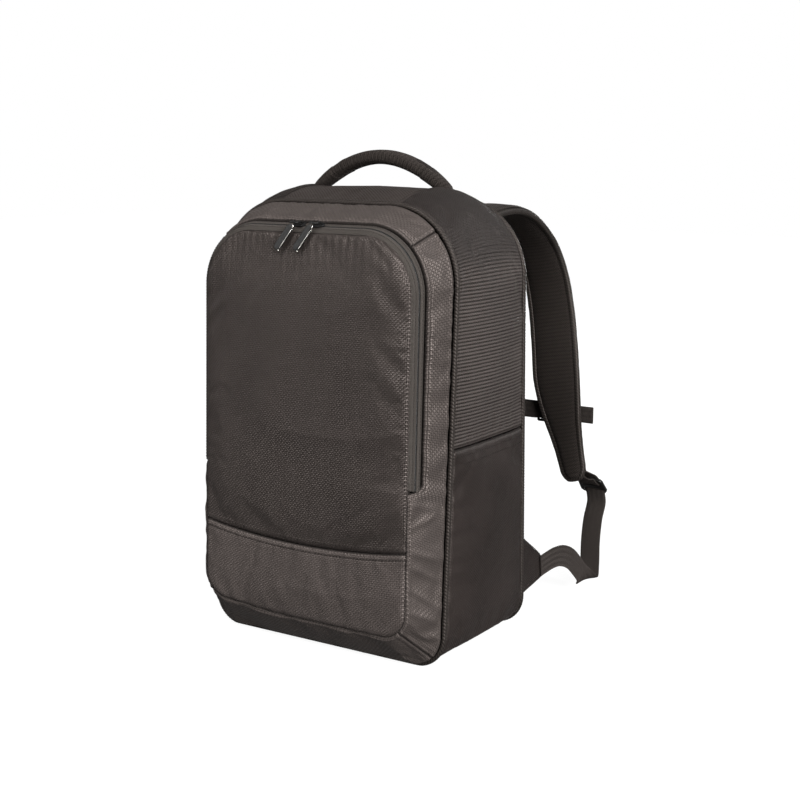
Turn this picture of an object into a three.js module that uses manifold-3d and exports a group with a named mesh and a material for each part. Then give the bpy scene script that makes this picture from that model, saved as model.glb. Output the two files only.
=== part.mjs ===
// School backpack: a soft rectangular pack with a zipped front flap, a carry handle, two padded
// shoulder straps joined by a sternum strap, and adjustable lower straps.
// Millimetres. Origin: middle of the base, on the ground. +X right hand side, +Y the wearer's back, +Z up.
import * as THREE from "three";
import { mergeVertices } from "three/addons/utils/BufferGeometryUtils.js";
import Module from "manifold-3d";

const wasm = await Module();
wasm.setup();

// Driving dimensions.
const HALF_WIDTH = 148;
const HEIGHT = 468;
const DEPTH = 166; // front piping to rear piping at the base
const FRONT_LEAN = 28; // how far the front piping plane leans back over the whole height
const REAR_LEAN = 8;
const TOP_CROWN = 13; // the top panel domes up between its two pipings
const POCKET_DEPTH = 55; // the front compartment stands this far out of the piping plane at the top
const POCKET_DEPTH_AT_BASE = 44;
const WALL = 4; // padded fabric wall
const GAP = 0.3; // clearance between neighbouring pieces
const PIPING_RADIUS = 2.4;
const SIDE_SEAM_HEIGHT = 226;
const ZIP_END_HEIGHT = 190; // the zip starts and ends this high, one end on each side
const BAND_SEAM_HEIGHT = 122; // top of the lower band across the front
const STRAP_THICKNESS = 12;
const WEBBING_WIDTH = 25;
const WEBBING_THICKNESS = 2;
const HANDLE_HALF_SPAN = 74;
const HANDLE_Y = 28;
const CORNER_STEPS = 6;
const BORDER_INSET = 0.5; // the border's back edge sits this far inside the body's outline
const BOARD_HALF_WIDTH = 110;
const SLEEVE_TOP = 300; // top of the laptop sleeve inside the back
const PAD_CORNER = 22;
// Padding on the wearer's side, as [left, low, right, high] seen from the front.
const BACK_PAD = [18, 142, 140, 404];
const LUMBAR_PAD = [-140, 34, 140, 134];
const YOKE = [-104, 412, 104, 446];
// Sewn triangle at the foot of the back, as depth and height.
const WING_OUTLINE = [[90, 31], [157, 44], [133, 70], [90, 100]];
const WING_THICKNESS = 3;
const WING_X = 142; // its inner face

const HALF_DEPTH = DEPTH / 2;
const ZIP_SHELF = 38; // local distance of the zip's outer edge in front of the piping plane

// Outlines of the bag seen from the front: half width, top, base, and the two corner radii.
const BODY = { half: HALF_WIDTH, top: HEIGHT, base: 0, topRadius: 80, baseRadius: 34 };
const ZIP = { half: 136, top: 450, base: 28, topRadius: 68, baseRadius: 32 };
const FACE = { half: 129.5, top: 442, base: 38, topRadius: 60, baseRadius: 30 };
const CORD = { half: HALF_WIDTH - 1, top: HEIGHT - 1, base: PIPING_RADIUS + GAP, topRadius: 79, baseRadius: 32 };

const pack = new THREE.Group();

function cloth(color, roughness = 0.85) {
  return new THREE.MeshStandardMaterial({ color, roughness, metalness: 0 });
}
const oxford = cloth(0x37342f);
const ribbed = cloth(0x45423c);
const mesh3d = cloth(0x24221f, 0.95);
const lining = cloth(0x5a5a5c, 0.7);
const webbing = cloth(0x2b2926, 0.7);
const pipingCloth = cloth(0x161513, 0.6);
const plastic = new THREE.MeshStandardMaterial({ color: 0x121212, roughness: 0.4, metalness: 0 });
const board = new THREE.MeshStandardMaterial({ color: 0x1d1d1d, roughness: 0.5, metalness: 0 });
const enamel = new THREE.MeshStandardMaterial({ color: 0x0a0a0a, roughness: 0.15, metalness: 0.9 });

function add(name, geometry, material, parent = pack) {
  const mesh = new THREE.Mesh(geometry, material);
  mesh.name = name;
  parent.add(mesh);
  return mesh;
}

// Closed surface through a row of rings with the same number of points; `joined` runs it round a loop.
function skin(rings, joined = false) {
  const size = rings[0].length;
  const positions = rings.flat().flatMap((p) => [p.x, p.y, p.z]);
  const faces = [];
  const spans = joined ? rings.length : rings.length - 1;
  for (let i = 0; i < spans; i++) {
    const here = i * size;
    const next = ((i + 1) % rings.length) * size;
    for (let j = 0; j < size; j++) {
      const k = (j + 1) % size;
      faces.push(here + j, here + k, next + k, here + j, next + k, next + j);
    }
  }
  if (!joined) {
    const last = (rings.length - 1) * size;
    for (const [a, b, c] of capFaces(rings[0])) faces.push(c, b, a);
    for (const [a, b, c] of capFaces(rings[rings.length - 1])) faces.push(last + a, last + b, last + c);
  }
  if (signedVolume(positions, faces) < 0) {
    for (let i = 0; i < faces.length; i += 3) [faces[i + 1], faces[i + 2]] = [faces[i + 2], faces[i + 1]];
  }
  const geometry = new THREE.BufferGeometry();
  geometry.setAttribute("position", new THREE.Float32BufferAttribute(positions, 3));
  geometry.setIndex(faces);
  geometry.computeVertexNormals();
  return geometry;
}

// Triangles that close one end ring, found in the ring's own plane.
function capFaces(ring) {
  const normal = new THREE.Vector3();
  ring.forEach((p, i) => normal.add(new THREE.Vector3().crossVectors(p, ring[(i + 1) % ring.length])));
  normal.normalize();
  const u = ring[1].clone().sub(ring[0]).normalize();
  const v = new THREE.Vector3().crossVectors(normal, u);
  const flat = ring.map((p) => new THREE.Vector2(p.dot(u), p.dot(v)));
  return THREE.ShapeUtils.triangulateShape(flat, []);
}

function signedVolume(positions, faces) {
  const corner = (i) => new THREE.Vector3().fromArray(positions, faces[i] * 3);
  let volume = 0;
  for (let i = 0; i < faces.length; i += 3) volume += corner(i).dot(corner(i + 1).cross(corner(i + 2)));
  return volume;
}

// The bag's rounded outline, `inset` inside a named outline.
function inside(shape, inset) {
  return {
    half: shape.half - inset,
    top: shape.top - inset,
    base: shape.base + inset,
    topRadius: shape.topRadius - inset,
    baseRadius: shape.baseRadius - inset,
  };
}

// Places along an outline. Corners run anticlockwise from the front: 0 top right, 1 top left,
// 2 base left, 3 base right; turn goes from 0 to 1 round each. A side place has a height.
const turns = (corner, from = 0, to = 1, steps = CORNER_STEPS) =>
  Array.from({ length: steps + 1 }, (_, i) => ({ corner, turn: from + ((to - from) * i) / steps }));
const side = (sign, z) => ({ sign, z });

function pointAt(shape, place) {
  if (place.corner === undefined) return { x: place.sign * shape.half, z: place.z };
  const upper = place.corner < 2;
  const radius = upper ? shape.topRadius : shape.baseRadius;
  const sign = place.corner === 0 || place.corner === 3 ? 1 : -1;
  const angle = ((place.corner + place.turn) * Math.PI) / 2;
  const z = upper ? shape.top - radius : shape.base + radius;
  return { x: sign * (shape.half - radius) + radius * Math.cos(angle), z: z + radius * Math.sin(angle) };
}

// The bag leans: a local depth y becomes the real one, and the top panel domes.
function settle(x, y, z) {
  const up = z / HEIGHT;
  const front = -HALF_DEPTH + FRONT_LEAN * up;
  const rear = HALF_DEPTH - REAR_LEAN * up;
  const pocket = (POCKET_DEPTH_AT_BASE + (POCKET_DEPTH - POCKET_DEPTH_AT_BASE) * up) / POCKET_DEPTH;
  const crown = THREE.MathUtils.clamp((z - HEIGHT + BODY.topRadius) / BODY.topRadius, 0, 1);
  const dome = Math.max(0, 1 - (y / HALF_DEPTH) ** 2) * crown;
  let depth = front + ((y + HALF_DEPTH) / DEPTH) * (rear - front);
  if (y < -HALF_DEPTH) depth = front + (y + HALF_DEPTH) * pocket;
  if (y > HALF_DEPTH) depth = rear + (y - HALF_DEPTH);
  return new THREE.Vector3(x, depth, z + TOP_CROWN * dome);
}

// A wall that follows the outline through `places`; its section is a ring of [outline, local y].
function wall(places, section, joined = false) {
  const ringAt = (place) =>
    section.map(([shape, y]) => {
      const p = pointAt(typeof shape === "function" ? shape(place) : shape, place);
      return settle(p.x, y, p.z);
    });
  return skin(places.map(ringAt), joined);
}

// A plate in the plane of the front or back, from local depth `rear` forwards to `front`.
function plate(points, front, rear) {
  const ringAt = (y) => points.map(([x, z]) => settle(x, y, z));
  return skin([ringAt(front), ringAt(rear)]);
}

// Outline points of a plate cut from `shape` between two heights.
function cut(shape, low, high) {
  const round = [0, 1, 2, 3].flatMap((corner) => turns(corner));
  const points = round.map((place) => pointAt(shape, place)).filter((p) => p.z > low && p.z < high);
  const rest = points.map((p) => [p.x, p.z]);
  const ends = [];
  if (low > shape.base) ends.push([-shape.half, low], [shape.half, low]);
  if (high < shape.top) ends.push([shape.half, high], [-shape.half, high]);
  const all = [...rest, ...ends];
  const middle = (Math.max(low, shape.base) + Math.min(high, shape.top)) / 2;
  return all.sort((a, b) => Math.atan2(a[1] - middle, a[0]) - Math.atan2(b[1] - middle, b[0]));
}

function box(name, low, high, material, parent = pack) {
  const size = high.map((v, i) => v - low[i]);
  const geometry = new THREE.BoxGeometry(...size);
  geometry.translate(...high.map((v, i) => (v + low[i]) / 2));
  return add(name, geometry, material, parent);
}

const vec = (p) => new THREE.Vector3(...p);

// A band of given half width and thickness along a route. `across` is the band's width direction.
function band(route, halfWidth, thickness, across, round = 0) {
  const points = route.map(vec);
  const rings = points.map((p, i) => {
    const tangent = points[Math.min(i + 1, points.length - 1)].clone().sub(points[Math.max(i - 1, 0)]);
    tangent.normalize();
    const wide = vec(typeof across === "function" ? across(i / (points.length - 1)) : across);
    wide.addScaledVector(tangent, -wide.dot(tangent)).normalize();
    const out = new THREE.Vector3().crossVectors(tangent, wide);
    const w = typeof halfWidth === "function" ? halfWidth(i / (points.length - 1)) : halfWidth;
    const t = thickness / 2;
    const r = Math.min(round, w / 2);
    const section = round
      ? [[w, t / 2], [w - r, t], [r - w, t], [-w, t / 2], [-w, -t / 2], [r - w, -t], [w - r, -t], [w, -t / 2]]
      : [[w, t], [-w, t], [-w, -t], [w, -t]];
    return section.map(([a, b]) => p.clone().addScaledVector(wide, a).addScaledVector(out, b));
  });
  return skin(rings);
}

const smooth = (points, count) =>
  new THREE.CatmullRomCurve3(points.map(vec), false, "centripetal")
    .getSpacedPoints(count)
    .map((p) => p.toArray());
const mirrored = (points, sign) => points.map(([x, y, z]) => [sign * x, y, z]);
const sides = [
  ["left", -1],
  ["right", 1],
];

// ---- Body shell ------------------------------------------------------------------------------

const GUSSET_EDGE = HALF_DEPTH - PIPING_RADIUS - GAP * 2;
const WALL_STEPS = [-1, -0.5, 0, 0.5, 1];
const gussetSection = [
  ...WALL_STEPS.map((t) => [BODY, t * GUSSET_EDGE]),
  ...WALL_STEPS.map((t) => [inside(BODY, WALL), -t * GUSSET_EDGE]),
];
const TOP_SEAM_TURN = 0.93; // the side panels reach this far round the top corners
const BASE_SEAM_TURN = 0.36;
const SEAM = 0.004; // a sewn joint, as a share of a corner's turn

function bodyShell() {
  add("top_gusset", wall([...turns(0, TOP_SEAM_TURN + SEAM, 1, 2), ...turns(1, 0, 1 - TOP_SEAM_TURN - SEAM, 2)],
    gussetSection), oxford);
  for (const [hand, sign] of sides) {
    const right = sign > 0;
    const topArc = right ? turns(0, 0, TOP_SEAM_TURN) : turns(1, 1 - TOP_SEAM_TURN, 1);
    const baseArc = right ? turns(3, 1 - BASE_SEAM_TURN, 1, 3) : turns(2, 0, BASE_SEAM_TURN, 3);
    const seam = (offset) => side(sign, SIDE_SEAM_HEIGHT + offset);
    const upper = right ? [seam(GAP / 2), ...topArc] : [...topArc, seam(GAP / 2)];
    const lower = right ? [...baseArc, seam(-GAP / 2)] : [seam(-GAP / 2), ...baseArc];
    add("side_gusset_upper_" + hand, wall(upper, gussetSection), ribbed);
    add("side_gusset_lower_" + hand, wall(lower, gussetSection), oxford);
  }
  add("base_panel", wall([...turns(2, BASE_SEAM_TURN + SEAM * 2, 1, 4),
    ...turns(3, 0, 1 - BASE_SEAM_TURN - SEAM * 2, 4)], gussetSection), oxford);
  const inner = HALF_WIDTH - WALL - 6;
  box("base_board", [-BOARD_HALF_WIDTH, -60, WALL + GAP], [BOARD_HALF_WIDTH, 72, WALL + GAP + 2.5], board);
  add("back_panel", plate(cut(inside(BODY, WALL + 2), 0, HEIGHT), HALF_DEPTH - 8, HALF_DEPTH + 1), mesh3d);
  add("frame_sheet", plate(cut(inside(BODY, 14), 0, HEIGHT), HALF_DEPTH - 10, HALF_DEPTH - 8 - GAP), board);
  const reach = inner - 8;
  const foot = 16;
  const rectangle = (x0, x1, top) => [[x0, foot], [x1, foot], [x1, top], [x0, top]];
  add("sleeve_front", plate(rectangle(-reach, reach, SLEEVE_TOP), 44, 50), lining);
  for (const [hand, sign] of sides) {
    const ends = rectangle(sign * (reach - 5), sign * reach, SLEEVE_TOP - 8);
    add("sleeve_side_" + hand, plate(ends, 50 + GAP, HALF_DEPTH - 11), lining);
  }
}

// A round cord sewn into the edge seam all the way round.
function piping(name, y) {
  const section = Array.from({ length: 6 }, (_, i) => {
    const angle = (i * Math.PI) / 3;
    return [inside(CORD, -PIPING_RADIUS * Math.cos(angle)), y + PIPING_RADIUS * Math.sin(angle)];
  });
  const places = [0, 1, 2, 3].flatMap((corner) => turns(corner));
  add(name, wall(places, section, true), pipingCloth);
}

// ---- Front compartment ---------------------------------------------------------------------

const PIPING_FRONT = -HALF_DEPTH - PIPING_RADIUS - GAP;
const ZIP_EDGE = -HALF_DEPTH - ZIP_SHELF;
const FACE_EDGE = -HALF_DEPTH - POCKET_DEPTH;
const BORDER = 3;
const TAPE = 1.6;

function frontCompartment() {
  // Below the zip's two ends the border reaches the face itself.
  const besideZip = (place) => (place.corner === undefined ? place.z > ZIP_END_HEIGHT : place.corner < 2);
  const borderWall = (places) =>
    skin(places.map((place) => {
      const zip = besideZip(place);
      const edge = zip ? ZIP : inside(FACE, -GAP);
      const backEdge = zip ? inside(ZIP, 1.5) : edge;
      const y = zip ? ZIP_EDGE : FACE_EDGE;
      const section = [
        [inside(BODY, BORDER_INSET), PIPING_FRONT],
        [edge, y],
        [backEdge, y + (zip ? 2.5 : WALL)],
        [inside(BODY, BORDER_INSET + BORDER), PIPING_FRONT],
      ];
      return section.map(([shape, depth]) => {
        const p = pointAt(shape, place);
        return settle(p.x, depth, p.z);
      });
    }));
  add("border_top", borderWall([...turns(0, 0.5 + SEAM, 1, 4), ...turns(1, 0, 0.5 - SEAM, 4)]), oxford);
  add("border_bottom", borderWall([...turns(2, 0.5 + SEAM, 1, 3), ...turns(3, 0, 0.5 - SEAM, 3)]), oxford);
  for (const [hand, sign] of sides) {
    const step = [side(sign, ZIP_END_HEIGHT + 1), side(sign, ZIP_END_HEIGHT - 1)];
    const places = sign > 0
      ? [...turns(3, 0.5 + SEAM, 1, 3), ...step.reverse(), ...turns(0, 0, 0.5 - SEAM, 4)]
      : [...turns(1, 0.5 + SEAM, 1, 4), ...step, ...turns(2, 0, 0.5 - SEAM, 3)];
    add("border_" + hand, borderWall(places), oxford);
  }
  const plane = [FACE_EDGE, FACE_EDGE + WALL];
  add("front_lower_band", plate(cut(inside(FACE, GAP), 0, BAND_SEAM_HEIGHT - GAP / 2), ...plane), oxford);
  add("front_face_foot", plate(cut(inside(FACE, GAP), BAND_SEAM_HEIGHT + GAP / 2, ZIP_END_HEIGHT - GAP), ...plane), oxford);
}

// The zip strip bridges the border and the face; it splits along its teeth into two tapes.
const zipPlaces = () => [side(1, ZIP_END_HEIGHT + 2), ...turns(0), ...turns(1), side(-1, ZIP_END_HEIGHT + 2)];
const between = (t) => ({
  half: THREE.MathUtils.lerp(ZIP.half, FACE.half, t),
  top: THREE.MathUtils.lerp(ZIP.top, FACE.top, t),
  base: 0,
  topRadius: THREE.MathUtils.lerp(ZIP.topRadius, FACE.topRadius, t),
  baseRadius: 10,
});
function zipTape(name, from, to, parent) {
  const y = (t) => THREE.MathUtils.lerp(ZIP_EDGE, FACE_EDGE, t);
  const section = [
    [between(from), y(from)],
    [between(to), y(to)],
    [between(to), y(to) + TAPE],
    [between(from), y(from) + TAPE],
  ];
  add(name, wall(zipPlaces(), section), webbing, parent);
}

function frontFlap() {
  const flap = new THREE.Group();
  pack.add(flap);
  const plane = [FACE_EDGE, FACE_EDGE + WALL];
  add("flap_face", plate(cut(inside(FACE, GAP), ZIP_END_HEIGHT + GAP, HEIGHT), ...plane), oxford, flap);
  add("flap_lining", plate(cut(inside(FACE, 8), ZIP_END_HEIGHT + 6, HEIGHT),
    FACE_EDGE + WALL + GAP, FACE_EDGE + WALL + GAP + 1.2), lining, flap);
  zipTape("zip_tape_flap", 0.54, 0.9, flap);
}

// Joins overlapping closed pieces into one solid.
function join(...geometries) {
  const solids = geometries.map((geometry) => {
    geometry.deleteAttribute("normal");
    geometry.deleteAttribute("uv");
    const merged = mergeVertices(geometry, 1e-4);
    return new wasm.Manifold(new wasm.Mesh({
      numProp: 3,
      vertProperties: new Float32Array(merged.attributes.position.array),
      triVerts: new Uint32Array(merged.index.array),
    }));
  });
  const mesh = solids.reduce((whole, solid) => whole.add(solid)).getMesh();
  const geometry = new THREE.BufferGeometry();
  geometry.setAttribute("position", new THREE.Float32BufferAttribute(mesh.vertProperties, 3));
  geometry.setIndex(Array.from(mesh.triVerts));
  geometry.computeVertexNormals();
  return geometry;
}

// A zip slider on the tapes, with a bar in front of it that carries a long flat pull. The pull hangs
// over the edge of the face, a little to the left.
const SLIDER_X = 12;
const PULL_LENGTH = 34;
const PULL_LEAN = 0.6; // radians from straight down
const BAR_REACH = 11.2; // from the tapes' middle forwards to the bar
const BAR_LIFT = 4.5;
function zipSlider(hand, sign) {
  const seat = settle(0, (ZIP_EDGE + FACE_EDGE) / 2, (ZIP.top + FACE.top) / 2);
  const slope = Math.atan2(ZIP.top - FACE.top, POCKET_DEPTH - ZIP_SHELF);
  const slider = new THREE.Group();
  slider.position.set(sign * SLIDER_X, seat.y, seat.z);
  pack.add(slider);
  const outline = new THREE.Shape();
  outline.moveTo(-6.5, -4.5);
  outline.lineTo(6.5, -3);
  outline.lineTo(6.5, 3);
  outline.lineTo(-6.5, 4.5);
  const body = new THREE.ExtrudeGeometry(outline, { depth: 2.6, bevelEnabled: false });
  body.translate(0, 0, 0.9);
  body.rotateX(slope);
  const legs = [-4.6, 4.6].map((x) =>
    band([[x, -2, 2], [x, -BAR_REACH - 0.8, BAR_LIFT + 0.2]], 0.8, 1.8, [1, 0, 0]));
  const bar = new THREE.CylinderGeometry(0.9, 0.9, 9.2, 8);
  bar.rotateZ(Math.PI / 2);
  bar.translate(0, -BAR_REACH, BAR_LIFT);
  add("zip_slider_" + hand, join(body, ...legs, bar), enamel, slider);
  zipPull(hand, slider);
}

function zipPull(hand, slider) {
  const pull = new THREE.Group();
  pull.position.set(0, -BAR_REACH, BAR_LIFT);
  pull.rotation.y = PULL_LEAN;
  slider.add(pull);
  const eyeOutline = new THREE.Shape();
  eyeOutline.absarc(0, 0, 3.2, 0, Math.PI * 2);
  const eyeHole = new THREE.Path();
  eyeHole.absarc(0, 0, 2.1, 0, Math.PI * 2);
  eyeOutline.holes.push(eyeHole);
  const eye = new THREE.ExtrudeGeometry(eyeOutline, { depth: 1.6, bevelEnabled: false, curveSegments: 6 });
  eye.translate(0, 0, -0.8);
  eye.rotateY(Math.PI / 2);
  const plateOutline = new THREE.Shape();
  plateOutline.moveTo(-1.6, -2.6);
  plateOutline.lineTo(-3.9, -5.5);
  plateOutline.absarc(0, 3.4 - PULL_LENGTH, 3.4, Math.PI, Math.PI * 2);
  plateOutline.lineTo(3.9, -5.5);
  plateOutline.lineTo(1.6, -2.6);
  const blade = new THREE.ExtrudeGeometry(plateOutline, { depth: 2, bevelEnabled: false, curveSegments: 5 });
  blade.rotateX(Math.PI / 2 + 0.03);
  blade.translate(0, 0.2, 0);
  add("zip_pull_" + hand, join(eye, blade), enamel, pull);
}

// ---- Handle --------------------------------------------------------------------------------

const HANDLE_FOOT = HEIGHT + TOP_CROWN + 5; // the grip's feet stand clear of the top panel, so that it can lean
const HANDLE_RISE = 28;
function carryHandle() {
  const steps = 14;
  const route = Array.from({ length: steps + 1 }, (_, i) => {
    const share = (2 * i) / steps - 1;
    return [HANDLE_HALF_SPAN * share, HANDLE_Y, HANDLE_FOOT + HANDLE_RISE * (1 - share ** 2)];
  });
  const halfWidth = (t) => 6.5 + 6.5 * Math.sin(t * Math.PI) ** 0.5;
  add("handle_grip", band(route, halfWidth, 12, [0, 1, 0], 4), mesh3d);
  // Each foot is sewn down by a tab that follows the bag round its top corner.
  const tabDepths = [8, 23, 38];
  const section = [
    ...tabDepths.map((y) => [inside(BODY, -GAP * 2), y]),
    ...tabDepths.toReversed().map((y) => [inside(BODY, -1.8), y]),
  ];
  add("handle_tab_right", wall(turns(0, 0.78, 0.91, 2), section), webbing);
  add("handle_tab_left", wall(turns(1, 0.09, 0.22, 2), section), webbing);
}

// ---- Back and harness ----------------------------------------------------------------------

const BACK = HALF_DEPTH + 1 + GAP;
const PAD_THICKNESS = 16;
function backPads() {
  const pad = ([x0, z0, x1, z1], r) => {
    const shape = new THREE.Shape();
    shape.absarc(x1 - r, z1 - r, r, 0, Math.PI / 2);
    shape.absarc(x0 + r, z1 - r, r, Math.PI / 2, Math.PI);
    shape.absarc(x0 + r, z0 + r, r, Math.PI, Math.PI * 1.5);
    shape.absarc(x1 - r, z0 + r, r, Math.PI * 1.5, Math.PI * 2);
    return shape.getPoints(3).map((p) => [p.x, p.y]).slice(0, -1);
  };
  for (const [hand, sign] of sides) {
    const [near, low, far, high] = BACK_PAD;
    const corners = sign > 0 ? BACK_PAD : [-far, low, -near, high];
    add("back_pad_" + hand, plate(pad(corners, PAD_CORNER), BACK, BACK + PAD_THICKNESS), mesh3d);
  }
  add("lumbar_pad", plate(pad(LUMBAR_PAD, PAD_CORNER), BACK, BACK + PAD_THICKNESS), mesh3d);
  add("strap_yoke", plate(pad(YOKE, 10), BACK, BACK + 6), webbing);
}

// Centre line of the right shoulder strap, from its anchor over the arch and down to its tip.
const STRAP_ROUTE = [
  [60, 87, 440], [60, 130, 450], [60, 184, 450], [62, 219, 438], [68, 252, 409], [75, 268, 371], [82, 271, 330],
  [90, 265, 290], [98, 257, 247], [106, 255, 209], [117, 257, 163], [127, 253, 131],
];
const strapHalfWidth = (t) => 31 - 3 * Math.sin(t * Math.PI) - 17 * THREE.MathUtils.smoothstep(t, 0.72, 1);
const PAD_STEPS = 26;
const LOCK = [136, 283, 117]; // middle of the right ladder lock
const LOWER_ROUTE = [
  [139, 290, 96], [140, 279, 76], [143, 267, 50], [147, 258, 29], [150, 249, 19], [151, 236, 20], [151, 220, 30],
  [150, 198, 45], [149, 178, 55], [148.5, 162, 57],
];

function harness(hand, sign) {
  const strap = new THREE.Group();
  pack.add(strap);
  const route = smooth(mirrored(STRAP_ROUTE, sign), 2 * PAD_STEPS);
  add("strap_pad_" + hand, band(route.filter((_, i) => i % 2 === 0), strapHalfWidth, STRAP_THICKNESS, [1, 0, 0], 8),
    mesh3d, strap);
  // The webbing is sewn flat on the pad's outer face, from its middle down to its tip.
  const lift = STRAP_THICKNESS / 2 + WEBBING_THICKNESS / 2 + GAP * 6;
  const outer = route.map((p, i) => {
    const along = vec(route[Math.min(i + 1, 2 * PAD_STEPS)]).sub(vec(route[Math.max(i - 1, 0)])).normalize();
    const across = new THREE.Vector3(1, 0, 0).addScaledVector(along, -along.x).normalize();
    return vec(p).addScaledVector(across.cross(along), lift).toArray();
  });
  const sewn = outer.slice(Math.round(1.15 * PAD_STEPS));
  add("strap_webbing_" + hand, band(sewn, WEBBING_WIDTH / 2, WEBBING_THICKNESS, [1, 0, 0]), webbing, strap);
  ladderLock(hand, sign, strap);
  add("lower_webbing_" + hand,
    band(smooth(mirrored(LOWER_ROUTE, sign), 44), WEBBING_WIDTH / 2, WEBBING_THICKNESS, twist), webbing);
  wing(hand, sign);
}

// The lower webbing lies flat across X where it hangs from the lock, and stands on edge at the wing.
const twist = (t) => {
  const angle = (THREE.MathUtils.smoothstep(t, 0.4, 0.68) * Math.PI) / 2;
  return [Math.cos(angle), 0, Math.sin(angle)];
};

// Plastic frame with two slots; it hangs from the strap's tip and tilts on it.
function ladderLock(hand, sign, parent) {
  const frame = new THREE.Shape();
  const [w, h] = [16, 13];
  frame.moveTo(-w, h);
  frame.lineTo(-w - 1, -h + 3);
  frame.lineTo(-w + 3, -h);
  frame.lineTo(w - 3, -h);
  frame.lineTo(w + 1, -h + 3);
  frame.lineTo(w, h);
  for (const z of [-6.5, 4.5]) {
    const slot = new THREE.Path();
    slot.moveTo(-13, z - 2.5);
    slot.lineTo(13, z - 2.5);
    slot.lineTo(13, z + 2.5);
    slot.lineTo(-13, z + 2.5);
    frame.holes.push(slot);
  }
  const geometry = new THREE.ExtrudeGeometry(frame, { depth: 4, bevelEnabled: false });
  geometry.translate(0, 0, -2);
  geometry.rotateX(Math.PI / 2 + 0.75);
  const lock = add("ladder_lock_" + hand, geometry, plastic, parent);
  lock.position.set(sign * LOCK[0], LOCK[1], LOCK[2]);
}

// Sewn triangle of cloth at the foot of the back that takes the lower webbing.
function wing(hand, sign) {
  const outline = new THREE.Shape(WING_OUTLINE.map((p) => new THREE.Vector2(...p)));
  const geometry = new THREE.ExtrudeGeometry(outline, { depth: WING_THICKNESS, bevelEnabled: false });
  geometry.rotateY(Math.PI / 2);
  geometry.rotateX(Math.PI / 2);
  geometry.translate(sign > 0 ? WING_X : -WING_X - WING_THICKNESS, 0, 0);
  add("wing_" + hand, geometry, oxford);
}

const STERNUM_Y = 267.6;
const STERNUM_Z = 206;
function sternumStrap() {
  const left = new THREE.Group();
  const right = new THREE.Group();
  pack.add(left, right);
  const y = STERNUM_Y;
  const z = STERNUM_Z;
  box("sternum_webbing_left", [-142, y - 1, z - 10], [-21, y + 1, z + 10], webbing, left);
  box("sternum_webbing_right", [36, y - 1, z - 10], [142, y + 1, z + 10], webbing, right);
  const socket = new THREE.Shape([[-5, -13], [5, -13], [5, 13], [-5, 13]].map((p) => new THREE.Vector2(...p)));
  socket.holes.push(new THREE.Path([[-3, -11], [-3, 11], [3, 11], [3, -11]].map((p) => new THREE.Vector2(...p))));
  const tube = new THREE.ExtrudeGeometry(socket, { depth: 30, bevelEnabled: false });
  tube.rotateX(Math.PI / 2);
  tube.rotateZ(Math.PI / 2);
  tube.translate(-20.5, y, z);
  add("sternum_buckle_socket", tube, plastic, left);
  box("sternum_buckle_tongue", [-12, y - 2.6, z - 9], [35.5, y + 2.6, z + 9], plastic, right);
}

bodyShell();
piping("front_piping", -HALF_DEPTH);
piping("rear_piping", HALF_DEPTH);
frontCompartment();
zipTape("zip_tape_body", 0.12, 0.46, pack);
frontFlap();
for (const [hand, sign] of sides) zipSlider(hand, sign);
carryHandle();
backPads();
for (const [hand, sign] of sides) harness(hand, sign);
sternumStrap();

export default pack;
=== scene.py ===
import math
from itertools import product

import bmesh
import bpy
import numpy as np
from mathutils import Matrix, Vector


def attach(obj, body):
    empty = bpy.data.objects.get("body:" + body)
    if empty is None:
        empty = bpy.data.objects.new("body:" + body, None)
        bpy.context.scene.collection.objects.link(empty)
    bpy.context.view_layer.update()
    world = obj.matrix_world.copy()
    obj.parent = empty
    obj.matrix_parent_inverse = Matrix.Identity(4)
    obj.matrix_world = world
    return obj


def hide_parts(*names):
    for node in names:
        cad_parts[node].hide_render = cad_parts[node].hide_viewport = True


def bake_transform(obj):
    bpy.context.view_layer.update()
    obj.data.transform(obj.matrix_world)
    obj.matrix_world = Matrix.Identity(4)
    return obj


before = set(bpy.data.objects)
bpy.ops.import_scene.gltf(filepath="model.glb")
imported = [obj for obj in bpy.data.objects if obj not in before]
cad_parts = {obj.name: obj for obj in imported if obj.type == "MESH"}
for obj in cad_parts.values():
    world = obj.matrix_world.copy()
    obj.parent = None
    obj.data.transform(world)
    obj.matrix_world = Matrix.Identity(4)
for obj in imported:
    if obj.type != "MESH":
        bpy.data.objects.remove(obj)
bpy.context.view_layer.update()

# Driving dimensions in millimetres, the same as the CAD's. Meshes are scaled to metres as they are made.
MM = 0.001
HALF_WIDTH = 148
HEIGHT = 468
TOP_RADIUS = 80
HALF_DEPTH = 83
FRONT_LEAN = 28
REAR_LEAN = 8
TOP_CROWN = 13
POCKET_DEPTH = 55
POCKET_DEPTH_AT_BASE = 44
PIPING_RADIUS = 2.4
SIDE_SEAM_HEIGHT = 226
ZIP_END_HEIGHT = 190
BAND_SEAM_HEIGHT = 122
ZIP_EDGE = -121  # local depth of the zip's outer edge
FACE_EDGE = -138  # local depth of the front face's outline
PIPING_FRONT = -HALF_DEPTH - PIPING_RADIUS - 0.3
GUSSET_EDGE = HALF_DEPTH - 0.6  # the side cloth runs under the piping
WEBBING_WIDTH = 25

# Outlines from the front: half width, top, base, top corner radius, base corner radius.
BODY = (HALF_WIDTH, HEIGHT, 0, TOP_RADIUS, 34)
ZIP = (136, 450, 28, 68, 32)
FACE = (129.5, 442, 38, 60, 30)
CORD = (HALF_WIDTH - 1, HEIGHT - 1, 2.7, 79, 32)

SIDES = (("left", -1), ("right", 1))
ALONG_X, ALONG_Y, ALONG_Z = (1, 0, 0), (0, 1, 0), (0, 0, 1)


# ---- Numbers -----------------------------------------------------------------------------------

def smoothstep(low, high, x):
    t = np.clip((x - low) / (high - low), 0, 1)
    return t * t * (3 - 2 * t)


def bell(x, centre, width):
    return np.exp(-(((x - centre) / width) ** 2))


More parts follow.
